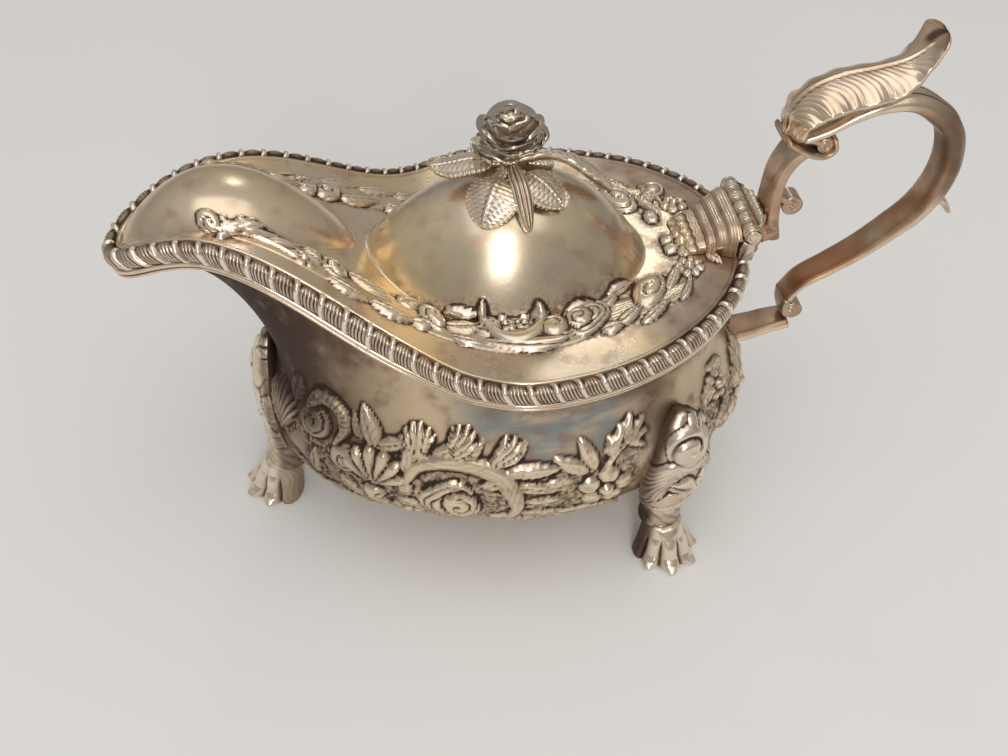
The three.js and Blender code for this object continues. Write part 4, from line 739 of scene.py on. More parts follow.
# Chart of the wreath on one side: distance round the rim from the spout, distance in from the edge
WREATH = [
    (ridge, 0, 0, 0,
     even([(30, 5.6), (44, 8.4), (58, 9.8), (72, 11.4), (86, 14), (100, 14.6), (114, 15.4),
           (128, 17.2), (140, 15.4), (150, 12.6)], 90),
     (3.4, 6.6, 7.4, 8, 8.4, 7.4, 4), 0.5, 0, 4),
    (swirl, 29.6, 6.4, 0, 3, 1.3, 1),
    (spray, 0, 0, 0, [(31.6, 3.4), (36, 6.6), (42, 7.6), (49, 7.2)],
     [(33.4, 9), (37, 11.6), (40.6, 12.8), (44.6, 12.8), (48.6, 12)], 2.8, 1.3),
    (flower, 50.6, 8.6, 0, 2.8, 5, 1.2),
    (swirl, 53, 11.6, 0, 2.6, 1.4),
    (swirl, 57.8, 11.6, 0, 3.4, 1.7, 1.5),
    (leaf, 56, 7.4, -8, 9.4, 4.2, 0.1, 1.2, 5),
    (leaf, 60.6, 12.6, 6, 11, 4.8, -0.12, 1.5),
    (leaf, 66, 7.8, 2, 10.6, 4.6, 0.12, 1.4, 5),
    (leaf, 73, 13.6, 38, 8.4, 4.4, -0.1),
    (leaf, 76, 9.6, 14, 6.4, 4, 0.2, 1.2),
    (swirl, 82.1, 15, 0, 3.9, 2.1, 0.8, 1.2),
    (leaf, 85, 14.2, 18, 11.6, 5, 0.08, 1.5),
    (leaf, 85.6, 18.6, 28, 10, 4.4, -0.1, 1.4, 5),
    (leaf, 86.2, 11.6, -2, 8.4, 3.6, 0.18, 1.2),
    (ridge, 102.6, 19.6, 0,
     even([(-6.8, 5.6), (-6.6, 0.4), (-3.6, -4), (1.2, -4.8), (5.6, -2.2), (7.4, 2.6), (6.6, 6.2)], 24),
     (1.2, 3.4, 4.6, 3.6, 1.2), 1.9),
    (swirl, 97.2, 18.8, 0, 3, 2.1, 2),
    (swirl, 109.4, 22.6, 0, 2.2, 1.6),
    (almond, 101.4, 12.6, 2, 13.5, 5, 1.4),
    (leaf, 92.6, 17.2, -16, 7, 4.4, 0.1),
    (flower, 101, 20.2, 0, 2.7, 5, 1.2),
    (flower, 105.6, 20.6, 0, 2.4, 5, 1.1, 0.3, 0.6),
    (leaf, 94, 13.2, -3, 15, 3.8, -0.02, 1.2, 9, 1.2),
    (swirl, 112.2, 17.6, 0, 3.9, 2.1, 2.4, 1.2),
    (leaf, 110, 13.4, 4, 8.6, 3.4, 0.14, 1.1, 5),
    (rose, 120.6, 18.6, 0, 5.9, 2.1, 3),
    (leaf, 125, 20.8, 20, 5.4, 4.4, 0, 1.2),
    (leaf, 123.6, 13.2, -6, 6, 4.4, 0, 1.2),
    (leaf, 128, 13.4, 14, 8, 4.2, 0.06, 1.3, 0, 1.3),
    (leaf, 127.4, 24, 12, 8, 4, -0.08, 1.3, 0, 1.3),
    (swirl, 138.8, 19, 0, 5.3, 2.1, 0.4, 1.6),
    (leaf, 134, 10.6, 8, 10, 4, 0.12, 1.2, 6),
    (leaf, 143.4, 15.6, 42, 9.6, 4.4, -0.06, 1.4, 0, 1.2),
    (leaf, 146.6, 10.4, 16, 9, 4.2, 0.12, 1.2, 6),
]
# The same behind the dome, in plan: place along and across the boat
BEHIND_DOME = [
    (flower, 136.6, -2.6, 0, 5.4, 6, 1.7),
    (flower, 136.2, -12, 0, 3.8, 8, 1.5, 0.32),
    (boss, 139.8, 6.4, 0, 3, 1.6),
    (flower, 138.6, 13.2, 0, 3.6, 5, 1.5),
    (boss, 134.6, 20.4, 0, 3, 1.6),
    (leaf, 131, 15, 60, 6.6, 3.6),
    (leaf, 132, 6.6, 100, 6, 3.4),
    (leaf, 141.6, -7, -60, 6, 3, 0, 1.1),
]

lid_rows = steps((0, 0), (0.3, 16), (0.94, 98), (1, 18))
cover = lid(t, lid_rows)
inwards = -runs(cover, len(lid_rows) - 1)
round_rim = np.broadcast_to(half * RIM_ROUND, (len(lid_rows), len(half)))
relief = emboss(np.zeros(round_rim.shape), round_rim, inwards[:, : len(half)], WREATH)
relief *= ease((158 - round_rim) / 4)
relief = 1.12 * emboss(relief[:, mirror], cover[..., 0], cover[..., 1], BEHIND_DOME)
hollow, proud = hollows(relief, 2, 8)
wreath = ease((inwards - 7) / 3) * ease((cover[..., 0] - 30) / 8) * ease(blurred(relief, 16) / 0.22)
ground = 0.5 * wreath * (1 - ease(relief / 0.3))
lip = 0.5 * half_round((inwards - 0.6) / 0.6)
top = cover + outward(cover, cover.mean((0, 1)) - (0, 0, 60)) * (relief - 0.1 * ground + lip)[..., None]
# A grey tint grows over the rear of the lid, and painted shade darkens the plain edge over its rear part.
film = 0.4 * ease((cover[..., 0] - 60) / 20)
edge_shade = 0.42 * ease((cover[..., 0] - 108) / 26) * ease((14 - inwards) / 6) * ease(1 - relief / 0.3)
# The underside has few rows. It lies a little deeper in the middle, so that it never cuts the top
under_rows = np.linspace(1, 0, 25)
under = lid(t, under_rows, SHEET + 0.35 * ease((1 - under_rows) / 0.2)[:, None])
plain = np.zeros(under.shape[:2])
surface(
    "lid_sheet", np.vstack([top, under]), "cover", "lid_plate", "lid_silver", seam=True,
    hollow=np.vstack([np.clip(1.6 * hollow, 0, 1), plain + 0.2]), proud=np.vstack([proud, plain]),
    ground=np.vstack([ground, plain]), film=np.vstack([film, plain]), shade=np.vstack([edge_shade, plain]),
)

# Strip under the lid
# A narrow silver strip, soldered on edge under the rear of the lid. It drops inside the rim and keeps the
# lid in its place.
STRIP_START = LENGTH * 0.465
first = half[rim(half)[0][:, 0] > STRIP_START][0]
strip_t = np.linspace(first, 1 - first, 300)
# Section of the strip: distance in from the rim, height over it
corners = np.array([(3.25, -3.9), (3.2, -2), (3.2, 0), (4.0, 0), (4.0, -2), (3.95, -3.9), (3.6, -4.05)])
surface("lid_strip", along_rim(strip_t, -corners[:, 0], corners[:, 1]), "cover", "lid_bezel", "lid_silver")

# Hinge
# Five knuckles on one pin. Three are soldered to a fan-shaped bracket behind the rim, two to a stepped leaf
# on the lid.
PIN_X, PIN_Z = LENGTH + 1.2, 87.0


def turned(profile, sides, middle, axis="y", flutes=0, depth=0.0):
    """Lathe work: a profile of (distance from the axis, place along it) turned round, with flutes if
    asked for."""
    profile = np.asarray(profile, float)
    turn = np.linspace(0, 2 * np.pi, sides, endpoint=False)
    far = profile[:, :1] * (1 + depth * np.cos(flutes * turn))
    a, b, c = far * np.cos(turn), far * np.sin(turn), np.broadcast_to(profile[:, 1:], (len(profile), sides))
    grid = np.stack([a, c, b] if axis == "y" else [a, b, c], -1)
    return grid + np.asarray(middle, float)


# Half a knuckle: softened end, then a fine line cut round it
end = [(0.55, 0), (1.98, 0), (2.2, 0.18), (2.2, 0.5), (2.068, 0.62), (2.2, 0.74)]
for k in range(KNUCKLES):
    low = -BARREL / 2 + k * (KNUCKLE + KNUCKLE_GAP)
    profile = [(far, low + y) for far, y in end] + [(far, low + KNUCKLE - y) for far, y in reversed(end)]
    body = "cover" if k % 2 else "boat"
    name = f"{'lid' if k % 2 else 'boat'}_knuckle_{k // 2 + 1}"
    surface("turned_" + name, turned(profile, 36, (PIN_X, 0, PIN_Z)), body, name, "cast_silver")
pin_end = -BARREL / 2 - 0.3
# Riveted end of the pin: distance from the axis, distance outwards from its shoulder
head = [(0.5, 0.5), (1.1, 0.5), (1.2, 0.36), (1.5, 0.36), (1.62, 0.5), (1.8, 0.36), (1.8, 0.1), (1.0, 0)]
head = [(far, pin_end - y) for far, y in head]
pin = head + [(far, -y) for far, y in reversed(head)]
surface("turned_pin", turned(pin, 36, (PIN_X, 0, PIN_Z)), "boat", "hinge_pin", "polished_silver")

# Bracket: a loop of lines across the boat, up its front, round the cove for the barrel and down its fan
FAN_HALF, COVE = 11.1, 2.5
y = FAN_HALF * np.linspace(-1, 1, 61)
rear = PIN_X + np.interp(abs(y), [0, 5.2, 8.3, FAN_HALF], [5, 5, 3.1, 1.0]) + 0.22 * np.cos(y * 2.4) - 0.2
cove = np.radians([50, 30, 10, -10, -30, -50, -70, -90, -105])
cove = np.stack([PIN_X - COVE * np.sin(cove), PIN_Z - COVE * np.cos(cove)], -1)
loop = [(np.full_like(y, x), z) for x, z in [(149.2, 79.4), (149.0, 81), (149.0, 83.3), (149.3, 83.9), *cove]]
for pull, z in ((0.45, 88.7), (0.12, 88.4), (0, 87.6), (0.1, 85), (0.3, 82), (0.1, 80.2), (0.4, 79.4)):
    loop.append((np.maximum(rear - pull, PIN_X + 0.9), z))
bracket = np.stack([np.stack([x, y, np.full_like(y, z)], -1) for x, z in loop], 1)
surface("hinge_fan", bracket, "boat", "hinge_bracket", "cast_silver")

# Leaf on the lid: five steps that rise from the dome to the barrel, finely lined, with a scalloped front
PLATE_FRONT, PLATE_LONG = 135.4, 13.9
back = np.linspace(0, 1, 72)
x = PLATE_FRONT + PLATE_LONG * back
wide = np.interp(back, [0, 0.5, 0.93, 1], [7.4, 8.1, 11.0, 11.0])
step = np.interp(back, [0, 0.08, 0.12, 0.24, 0.28, 0.42, 0.46, 0.58, 0.62, 0.76, 0.8, 0.93, 1],
                 [0.7, 1.0, 1.9, 2.1, 3.1, 3.5, 4.6, 5.1, 6.3, 6.9, 7.9, 8.5, 8.3])
across = np.linspace(-1, 1, 41)
fine_lines = 0.12 * np.clip(np.cos(2 * np.pi * back * 26), 0, 1)[:, None] ** 2
scallop = 0.5 * np.cos(across * np.pi * 5) * (1 - back[:, None]) ** 3
foot = lid_height(x, 0)[:, None] + 0.25
top = foot + (step - 0.25)[:, None] * (1 - 0.35 * abs(across) ** 6) - fine_lines
foot = np.broadcast_to(np.where(x[:, None] > 148.2, 85.5, foot), top.shape)
leaf_x, leaf_y = x[:, None] - scallop, wide[:, None] * across
stepped = [np.stack([leaf_x, leaf_y, top], -1), np.stack([leaf_x, leaf_y, foot], -1)[:, ::-1]]
rising = np.clip(np.gradient(step, back) / 30, 0, 1)[:, None]
dark = np.broadcast_to(np.clip(fine_lines * 4 + 0.5 * rising, 0, 1), top.shape)
surface("hinge_plate", np.concatenate(stepped, 1), "cover", "hinge_leaf", "lid_silver",
        hollow=np.concatenate([dark, 0 * dark], 1))

# Feet
# Three cast feet. Each is a lion's paw with four toes and claws under a leafy knee that is soldered to the
# wall, with a banded collar where they meet.
FEET = [
    ("front", LENGTH * 0.21, 0.0, 180, RIM * 0.784, 0.66),
    ("rear_near", LENGTH * 0.867, -WIDTH * 0.376, -65, RIM * 0.706, 1.0),
    ("rear_far", LENGTH * 0.867, WIDTH * 0.376, 65, RIM * 0.706, 1.0),
]
TOES, PAW_TOP, KNEE_FOOT, COLLAR, SHELL_TALL = 4, 11.8, 12.0, 0.17, 41.5
# Knee from the ankle up: share of its height, how far it stands out, its width, its depth
KNEE = np.array([
    (0, 0, 0.62, 1.0), (0.1, 0.06, 0.56, 0.88), (0.22, 0.16, 0.72, 0.95), (0.4, 0.48, 0.98, 1.0),
    (0.62, 0.68, 1.0, 0.92), (0.82, 0.6, 0.76, 0.85), (0.94, 0.44, 0.48, 0.6), (1, 0.28, 0.2, 0.4),
])
# Chart of the knee's front: distance sideways, distance up from its foot on a knee of the shell's height
SHELL = [
    (ridge, 0, 0, 0, even([(-7, 7.5), (-8.4, 14), (-8, 21), (-4, 27), (2, 27.6), (6.6, 23)], 24),
     (3, 6.4, 7.4, 6, 3), 2.5, 0, 5),
    (almond, -8.2, 9.6, 42, 14.4, 9.4, 2.9),
    (almond, -5.4, 22.6, -30, 9.6, 5.6, 2.7),
    (swirl, 0.4, 33, 0, 6.4, 2.6, 1, 0.8),
    (boss, -0.6, 32.4, 0, 2.2, 3.2),
    (swirl, 3.6, 39, 0, 3.6, 1.8),
    (leaf, 5.2, 8.6, 78, 13, 5.6, 0.14, 2.2, 4),
    (leaf, 1.4, 8.2, 96, 7.4, 4.4, -0.2, 1.5, 4),
    (leaf, 8.4, 20, 92, 11, 5, -0.2, 1.8, 5),
]


def seated(points, behind, gap=0.1):
    """Points given as (out, sideways, up) over a foot: those that would lie inside the boat are brought
    out to the wall behind them."""
    flat = points.reshape(-1, 3)
    near = behind[(abs(behind[:, 1]) < 14) & (behind[:, 0] > -22)]  # the stretch of wall over this foot
    nearest = np.argmin(((flat[:, None, 1:] - near[None, :, 1:]) ** 2).sum(-1), axis=1)
    flat[:, 0] = np.maximum(flat[:, 0], near[nearest, 0] - gap)
    return flat.reshape(points.shape)


def hump(t, start, long):
    """Half a sine wave over a stretch that begins at start, and 0 outside it."""
    return np.sin(np.pi * np.clip((t - start) / long, 0, 1))


def paw():
    """Paw round an upright axis: long half-round toes that start under the ankle, swell at the joint and
    splay to the floor, with deep grooves between them and a small hooked claw at the end of each. The
    marks for hollow, proud and shade come with it."""
    down = np.append(np.linspace(0, 1, 72), np.full(6, 1.0))[:, None]
    turn = np.linspace(-np.pi, np.pi, 168, endpoint=False)[None]
    spread = np.radians(76)
    front = ease((spread * 1.2 - abs(turn)) / (spread * 0.24))
    slot = ((turn / spread + 1) * TOES / 2) % 1 * 2 - 1
    bar = np.clip(1 - abs(0.98 * slot) ** 2.8, 0, 1) ** 0.6
    splay = ease((down - 0.86) / 0.14)
    forward, beside, behind = 4.9 + 6.4 * down**0.85 - 1.6 * splay, 5.0 + 4.0 * down - splay, 4.9 - 0.2 * down
    long = np.where(abs(turn) < np.pi / 2, forward, behind)
    far = 1 / np.sqrt((np.cos(turn) / long) ** 2 + (np.sin(turn) / beside) ** 2)
    joint = 0.3 * hump(down, 0.22, 0.4) + 0.5 * hump(down, 0.66, 0.34)
    claw = 1.3 * half_round(slot / 0.4) * hump(down, 0.78, 0.26)
    far = far + front * (joint * bar + claw - 2.1 * ease((down - 0.1) / 0.5) * (1 - bar))
    fur = 0.12 * np.clip(np.cos(turn * 24 + 3 * np.cos(down * 9)), 0, 1) * (1 - front)
    sole = np.append(np.full(72, 1.0), np.linspace(0.92, 0.1, 6))[:, None]
    far = (far + fur) * sole
    points = [1.9 + far * np.cos(turn), far * np.sin(turn), PAW_TOP * (1 - down)]
    hollow = front * (1 - bar) ** 1.5 * ease((down - 0.1) / 0.3) * 1.5 + 0.2 * (1 - front) * (fur < 0.03)
    marks = (np.clip(hollow, 0, 1), front * bar**3 * 0.8, 0.75 * ease((abs(turn) - 0.9) / 0.6))
    return np.stack(np.broadcast_arrays(*points), -1), *(mark * np.ones_like(far) for mark in marks)


paw_points, paw_hollow, paw_proud, paw_shade = paw()
knee_share = np.linspace(0, 1, 90)
knee_rows = np.interp(knee_share, KNEE[:, 0], np.arange(len(KNEE)))
_, knee_out, knee_wide, knee_deep = spline(KNEE, knee_rows).T[:, :, None]
knee_share = knee_share[:, None]
around = np.linspace(-np.pi, np.pi, 100, endpoint=False)[None]
sideways = 8.6 * np.sin(around) * np.clip(knee_wide, 0.3, 1)
shell = emboss(np.zeros(sideways.shape), sideways, SHELL_TALL * knee_share + 0 * sideways, SHELL)
shell *= np.cos(around) > -0.2
hollow, proud = hollows(shell, 2, 8)
in_collar = ease((COLLAR - knee_share) / 0.02)
bands = 0.9 * hump(knee_share, 0, COLLAR) ** 0.5 * in_collar
for name, foot_x, foot_y, toes, knee_top, stout in FEET:
    c, s = np.cos(np.radians(toes)), np.sin(np.radians(toes))
    turn_foot = np.array([[c, s, 0], [-s, c, 0], [0, 0, 1]])
    place = (foot_x, foot_y, 0)
    surface(name + "_lion_paw", paw_points @ turn_foot + place, "boat", name + "_paw", "cast_silver",
            hollow=paw_hollow, proud=paw_proud, shade=paw_shade * stout**2)
    tall = knee_top - KNEE_FOOT
    twist = 0.55 * (abs(np.sin(4.5 * around + 0.9 * knee_share * tall)) ** 0.5 - 0.6) * in_collar
    rise = shell * 0.9 * stout + bands + twist
    shade = 0.7 * ease((abs(around) - 0.9) / 0.5) + 0.25 * ease((COLLAR - 0.01 - knee_share) / 0.04)
    slim = 1 - (1 - stout) * ease((knee_share - 0.15) / 0.2)
    knee = np.stack([
        5 * (knee_out + knee_deep * np.cos(around)) * slim + rise * np.cos(around) * 0.9,
        9 * knee_wide * np.sin(around) + rise * np.sin(around) * 0.5,
        KNEE_FOOT + tall * knee_share + 0 * sideways,
    ], -1)
    behind = (skin[6:, ::3].reshape(-1, 3) - place) @ turn_foot.T
    knee = seated(knee, behind) @ turn_foot + place
    surface(name + "_leafy_knee", knee, "boat", name + "_knee", "cast_silver", shade=shade * stout,
            hollow=np.clip(hollow * 1.5 * stout + np.clip(-twist * 2.4, 0, 1), 0, 1),
            proud=np.clip(proud + np.clip(twist * 2, 0, 1), 0, 1))

# Handle
# Cast in silver and soldered together: a scrolled neck on the hinge bracket with a ledge on top, a bow that
# springs from the ledge, a broad thumb leaf over it, a tail bar to the wall and a spur behind.
REACH, HANDLE_BASE = 52.6, 79


def on_handle(*places):
    """Places on the handle, back from the rear of the rim and up from its height, in hundredths of its
    reach."""
    return np.array(places) * REACH / 100 + (LENGTH, HANDLE_BASE)


def beside(line, across, rise):
    """Points beside a line in the upright middle plane: a rise away from it, square to it, and across the
    plane."""
    along = np.gradient(line, axis=0)
    along /= np.linalg.norm(along, axis=1)[:, None]
    x, z = line[:, :1] - along[:, 1:] * rise, line[:, 1:] + along[:, :1] * rise
    return np.stack(np.broadcast_arrays(x, across, z), -1)


def bar(points, wide, thick, rows=60, sides=32, face=0.0, round_off=0.55):
    """Bar swept along a line in the upright middle plane. Wide and thick are lists spread evenly along
    it. The section is a box with rounded corners, and its outer face may carry a raised middle between
    two grooves."""
    share = np.linspace(0, 1, rows)
    half_wide = np.interp(share, np.linspace(0, 1, len(wide)), wide)[:, None] / 2
    half_thick = np.interp(share, np.linspace(0, 1, len(thick)), thick)[:, None] / 2
    turn = np.linspace(0, 2 * np.pi, sides, endpoint=False)[None]
    c, s = np.cos(turn), np.sin(turn)
    across = np.sign(c) * abs(c) ** round_off
    raised = (np.cos(across * np.pi * 1.5) ** 2 - 0.5) * ease((1 - abs(across)) / 0.2)
    rise = half_thick * np.sign(s) * abs(s) ** round_off + (s > 0.05) * face * raised
    return beside(even(points, rows), half_wide * across, rise)


def volute(middle, size, wide):
    """Rolled end of a scroll: a short round bar across, whose two ends are cut with a coil that runs to the
    middle."""
    turn = np.linspace(0, 2 * np.pi, 40, endpoint=False)[None]
    far = np.linspace(0.06, 1, 14)[:, None]
    groove = 0.34 * np.clip(np.cos(2 * np.pi * 2.1 * far - turn), 0, 1) ** 2 * (far > 0.12) * (far < 0.97)
    end = wide / 2 - groove - 0.25 * ease((far - 0.85) / 0.15)
    far = np.vstack([far, np.ones((5, 1)), far[::-1]])
    between = np.linspace(-wide / 2 + 0.35, wide / 2 - 0.35, 5)[:, None] + 0 * turn
    y = np.vstack([-end, between, end[::-1]])
    return np.stack([size * far * np.cos(turn), y, size * far * np.sin(turn)], -1) + (middle[0], 0, middle[1])


def worn(grids):
    """Mark for bars and scrolls: hollow where a point lies nearer the middle of its section than the middle
    between its two neighbours does."""
    marks = []
    for points in grids:
        mean = (np.roll(points, 1, 1) + np.roll(points, -1, 1)) / 2
        way = points - points.mean(1, keepdims=True)
        bend = ((mean - points) * way).sum(-1) / (np.linalg.norm(way, axis=-1) + 1e-6)
        marks.append(np.clip(bend / 0.06, 0, 1))
    return marks


def all_over(grids, value):
    """The same mark all over each grid."""
    return [np.full(grid.shape[:2], value) for grid in grids]


BOW_LINE = on_handle(
    (24, 55.5), (34.2, 59.3), (45.6, 65.8), (58.9, 70.5), (73.2, 70.7), (84.8, 65), (95.4, 54.8), (100, 38),
    (98.1, 21.7), (91.3, 8), (80.2, -3), (68.4, -13.3), (53.2, -23.6), (40.7, -31.6), (34.2, -40.7),
)
NECK_LINE = on_handle((16.7, 5.5), (16, 11.4), (15.8, 25.7), (17.1, 37.3), (21.5, 46.8), (25.1, 50.6))
LEDGE_LINE = on_handle((15.4, 57.0), (22, 52.4), (29, 48.4), (35.4, 47.2), (39.6, 50.4), (38.6, 55.2))
NECK_COIL, BOW_COIL, TAIL_COIL = (26.2, 17.9), (34.6, 52.5), (39.5, -49.8)

neck = [
    bar(NECK_LINE, (14, 10, 8.4, 8.4, 9, 10), (4,), face=0.3),
    bar(LEDGE_LINE, (11, 10.4, 9, 8.4), (1.9, 1.7, 1.5), 40),
    bar(np.array([(155.9, 83.4), (158.4, 83.2), (160.4, 83.8)]), (16, 14, 12), (4.6, 4.2, 3.6), 16),
    bar(on_handle((17.1, 24.8), NECK_COIL), (4.6,), (2.2,), 12),
    volute(on_handle(NECK_COIL)[0], 2.7, 4.8),
]
# Painted amber reflection all over the neck, with a little painted shade.
surface("scrolled_neck", neck, "boat", "handle_neck", "cast_silver", hollow=worn(neck),
        shade=all_over(neck, 0.15), film=all_over(neck, 0.6))

share, outside = np.linspace(0, 1, 150)[:, None], np.sin(np.linspace(0, 2 * np.pi, 40, endpoint=False))[None]
bow_thick = 3 + 3.2 * np.sin(np.pi * np.minimum(np.linspace(0, 1, 40) * 1.15, 1)) ** 2
bow = [
    bar(BOW_LINE, (8, 8.7, 9.3, 9.8, 10, 9.8, 9.3, 8.7, 8), bow_thick, 150, 40, face=0.3, round_off=0.85),
    bar(on_handle((24, 55.5), (28.9, 54.8), BOW_COIL), (7,), (2,), 12),
    volute(on_handle(BOW_COIL)[0], 2.06, 7),
    bar(on_handle((34.2, -40.7), (34.2, -46.4), (36.4, -51.5), TAIL_COIL), (8, 7, 5.6), (2.6,), 20),
    volute(on_handle(TAIL_COIL)[0], 2.6, 5.2),
]
# Painted shade darkens the bow below its start, but it stays bright, as if lit, on its outside, on the lower
# arm nearly all over. A painted amber reflection lies along its inside
lower_arm = ease((share - 0.52) / 0.1)
bright = 0.35 * (1 - lower_arm) * ease((outside - 0.1) / 0.4) + lower_arm * ease((outside + 0.5) / 0.4)
bow_shade = (0.68 - 0.14 * lower_arm) * ease((share - 0.2) / 0.16) * (1 - 0.88 * bright)
amber_reflection = (0.8 * lower_arm + 0.5 * (1 - lower_arm) * ease((share - 0.4) / 0.1)) * ease((-0.2 - outside) / 0.3)
surface("bow", bow, "boat", "handle_strap", "polished_silver", hollow=worn(bow),
        shade=[bow_shade * (1 - 0.6 * amber_reflection)] + all_over(bow[1:], 0.25), film=[amber_reflection] + all_over(bow[1:], 0.3))

tail = bar(on_handle((5.2, -64), (19, -61.6), (29.3, -58.9), (37.6, -57.6)), (10, 9, 8), (3,), 30, face=0.3)
# Painted amber reflection and painted shade on the upper face of the tail bar; its lower side stays bright.
upper_face = np.sin(np.linspace(0, 2 * np.pi, 32, endpoint=False)) > 0.25
film = np.broadcast_to(0.6 * upper_face, tail.shape[:2])
surface("tail_bar", tail, "boat", "handle_tail", "polished_silver",
        hollow=worn([tail])[0], shade=0.7 * film, film=film)

spur = on_handle((97, 16.5), (102, 13.6), (106.5, 9.6), (109.8, 4.8))
spur = bar(spur, (4.8, 4.4, 3.0), (2.8, 2.4, 1.3), 24, 20, round_off=0.9)
surface("spur", spur, "boat", "handle_spur", "cast_silver")

# Thumb leaf
# A cast leaf bowed over the handle: a raised middle rib, fine veins that bend from it to a wavy edge, a
# crumpled root and a rounded tip rolled up into a cup.
LEAF_HALF_WIDE, LEAF_DROP, LEAF_THICK = 8.3, 4.4, 1.0
leaf_line = even(on_handle((17.9, 57.4), (18.3, 68.4), (25.1, 77.8), (38, 83.5), (53.2, 85.9), (66.5, 89),
                           (77.2, 95.4), (83.7, 100)), 170)
share = np.linspace(0, 1, len(leaf_line))[:, None]
across = np.linspace(-1, 1, 81)[None]
edge = abs(across)
# Outline first, then how the leaf bends over the bow, then its veins, rib, crumpled root and cup
swell = np.interp(share, [0, 0.1, 0.25, 0.5, 0.72, 0.84, 0.93, 1],
                  [0.84, 0.88, 0.96, 1, 0.86, 0.7, 0.74, 0.78])
tip = half_round(np.clip(share - 0.93, 0, 1) / 0.0705)
root = half_round(np.clip(0.045 - share, 0, 1) / 0.0455)
wave = np.sin(2 * np.pi * (share * 7.2 + 0.2)) * ease((0.86 - share) / 0.1)
half_wide = LEAF_HALF_WIDE * swell * np.maximum(tip * (0.3 + 0.7 * root), 0.03) * (1 + 0.035 * wave)
drop = LEAF_DROP * (0.35 + 0.65 * ease(share / 0.3)) * (1 - 0.9 * ease((share - 0.66) / 0.22))
vein = np.clip(np.cos(2 * np.pi * (share * 27 - 3.6 * (1 - (1 - edge) ** 2))), 0, 1) ** 2
vein = vein * (0.12 + 0.88 * (across < 0)) * ease(edge / 0.12) * ease((1 - edge) / 0.08)
vein = vein * ease((0.9 - share) / 0.06) * ease((share - 0.1) / 0.06)
rib = bell(across / 0.055) * ease((0.95 - share) / 0.06)
crumple = np.sin(across * 9 + 40 * share) * np.sin(across * 4 - 22 * share)
crumple = 0.32 * crumple * ease((0.15 - share) / 0.06)
under = 0.1 + 0.3 * wave * edge**3 + (2.6 * edge**2.2 + 0.5) * ease((share - 0.84) / 0.13) - drop * across**2
over = under + LEAF_THICK - 0.17 * vein + 0.45 * rib + crumple
leaf_y = half_wide * across
leaf_points = [beside(leaf_line, leaf_y, over), beside(leaf_line, leaf_y, under)[:, ::-1]]
beside_rib = 0.5 * bell((edge - 0.12) / 0.05) * ease((0.92 - share) / 0.08)
in_cup = 0.5 * ease((share - 0.86) / 0.06) * ease((0.72 - edge) / 0.3)
# The hollow mark is tarnish in the veins, beside the rib, in the cup and in the creases of the root, and
# painted shade over the far half of the leaf.
deep = 0.42 * vein + beside_rib + in_cup + 0.3 * ease((across - 0.05) / 0.2) + np.clip(-crumple * 1.6, 0, 1)
deep = np.clip(deep, 0, 1)
surface("thumb_leaf", np.concatenate(leaf_points, 1), "boat", "handle_leaf", "polished_silver",
        hollow=np.concatenate([deep, 0 * deep + 0.15], 1))

# Finial
# A rose on a ribbed stem, with five chased leaves, a bud and a twig laid round it on the dome. A screw, a
# washer and a nut under the lid hold it.
DOME_TOP = float(lid_height(DOME_X, 0))
ROSE_BASE, PETAL_ROWS, PETAL_THICK = DOME_TOP + 5.6, 17, 0.55

stem = [(0.1, 0.02), (3.3, 0.02), (3.6, 0.3), (3.2, 0.9), (2.2, 1.7), (1.8, 2.4), (1.75, 3.6), (2.1, 4.4),
        (1.7, 5.0), (0.1, 5.0)]
stem = turned(spline(stem, np.linspace(0, 9, 40)), 60, (DOME_X, 0, DOME_TOP + 0.3), "z", 12, 0.07)
surface("ribbed_stem", stem, "cover", "finial_stem", "finial_silver")


def petal(bearing, low, far, tall, wide, curl):
    """Cupped petal of a rose: a patch of a bowl that stands on the axis, rounded at the top, with its rim
    rolled outwards. Its back lies half a millimetre inside its front."""
    up = np.linspace(0, 1, PETAL_ROWS)[:, None]
    across = np.linspace(-1, 1, PETAL_ROWS)[None]
    out = far * (0.3 + 0.7 * np.sin(np.pi / 2 * up) ** 0.8) + curl * up**4 - 0.5 * across**2 * up
    turn = np.radians(bearing) + across * np.radians(wide) * (0.5 + 0.5 * up**0.7)
    height = low + tall * up * (1 - 0.28 * across**4) - 0.5 * curl * up**6
    height = height + 0.25 * np.sin(across * 5 + bearing) * up
    front = np.stack([out * np.cos(turn), out * np.sin(turn), height], -1)
    out = out - PETAL_THICK
    back = np.stack([out * np.cos(turn), out * np.sin(turn), height - 0.1], -1)
    return np.concatenate([front, back[:, ::-1]], 1) + (DOME_X, 0, ROSE_BASE)


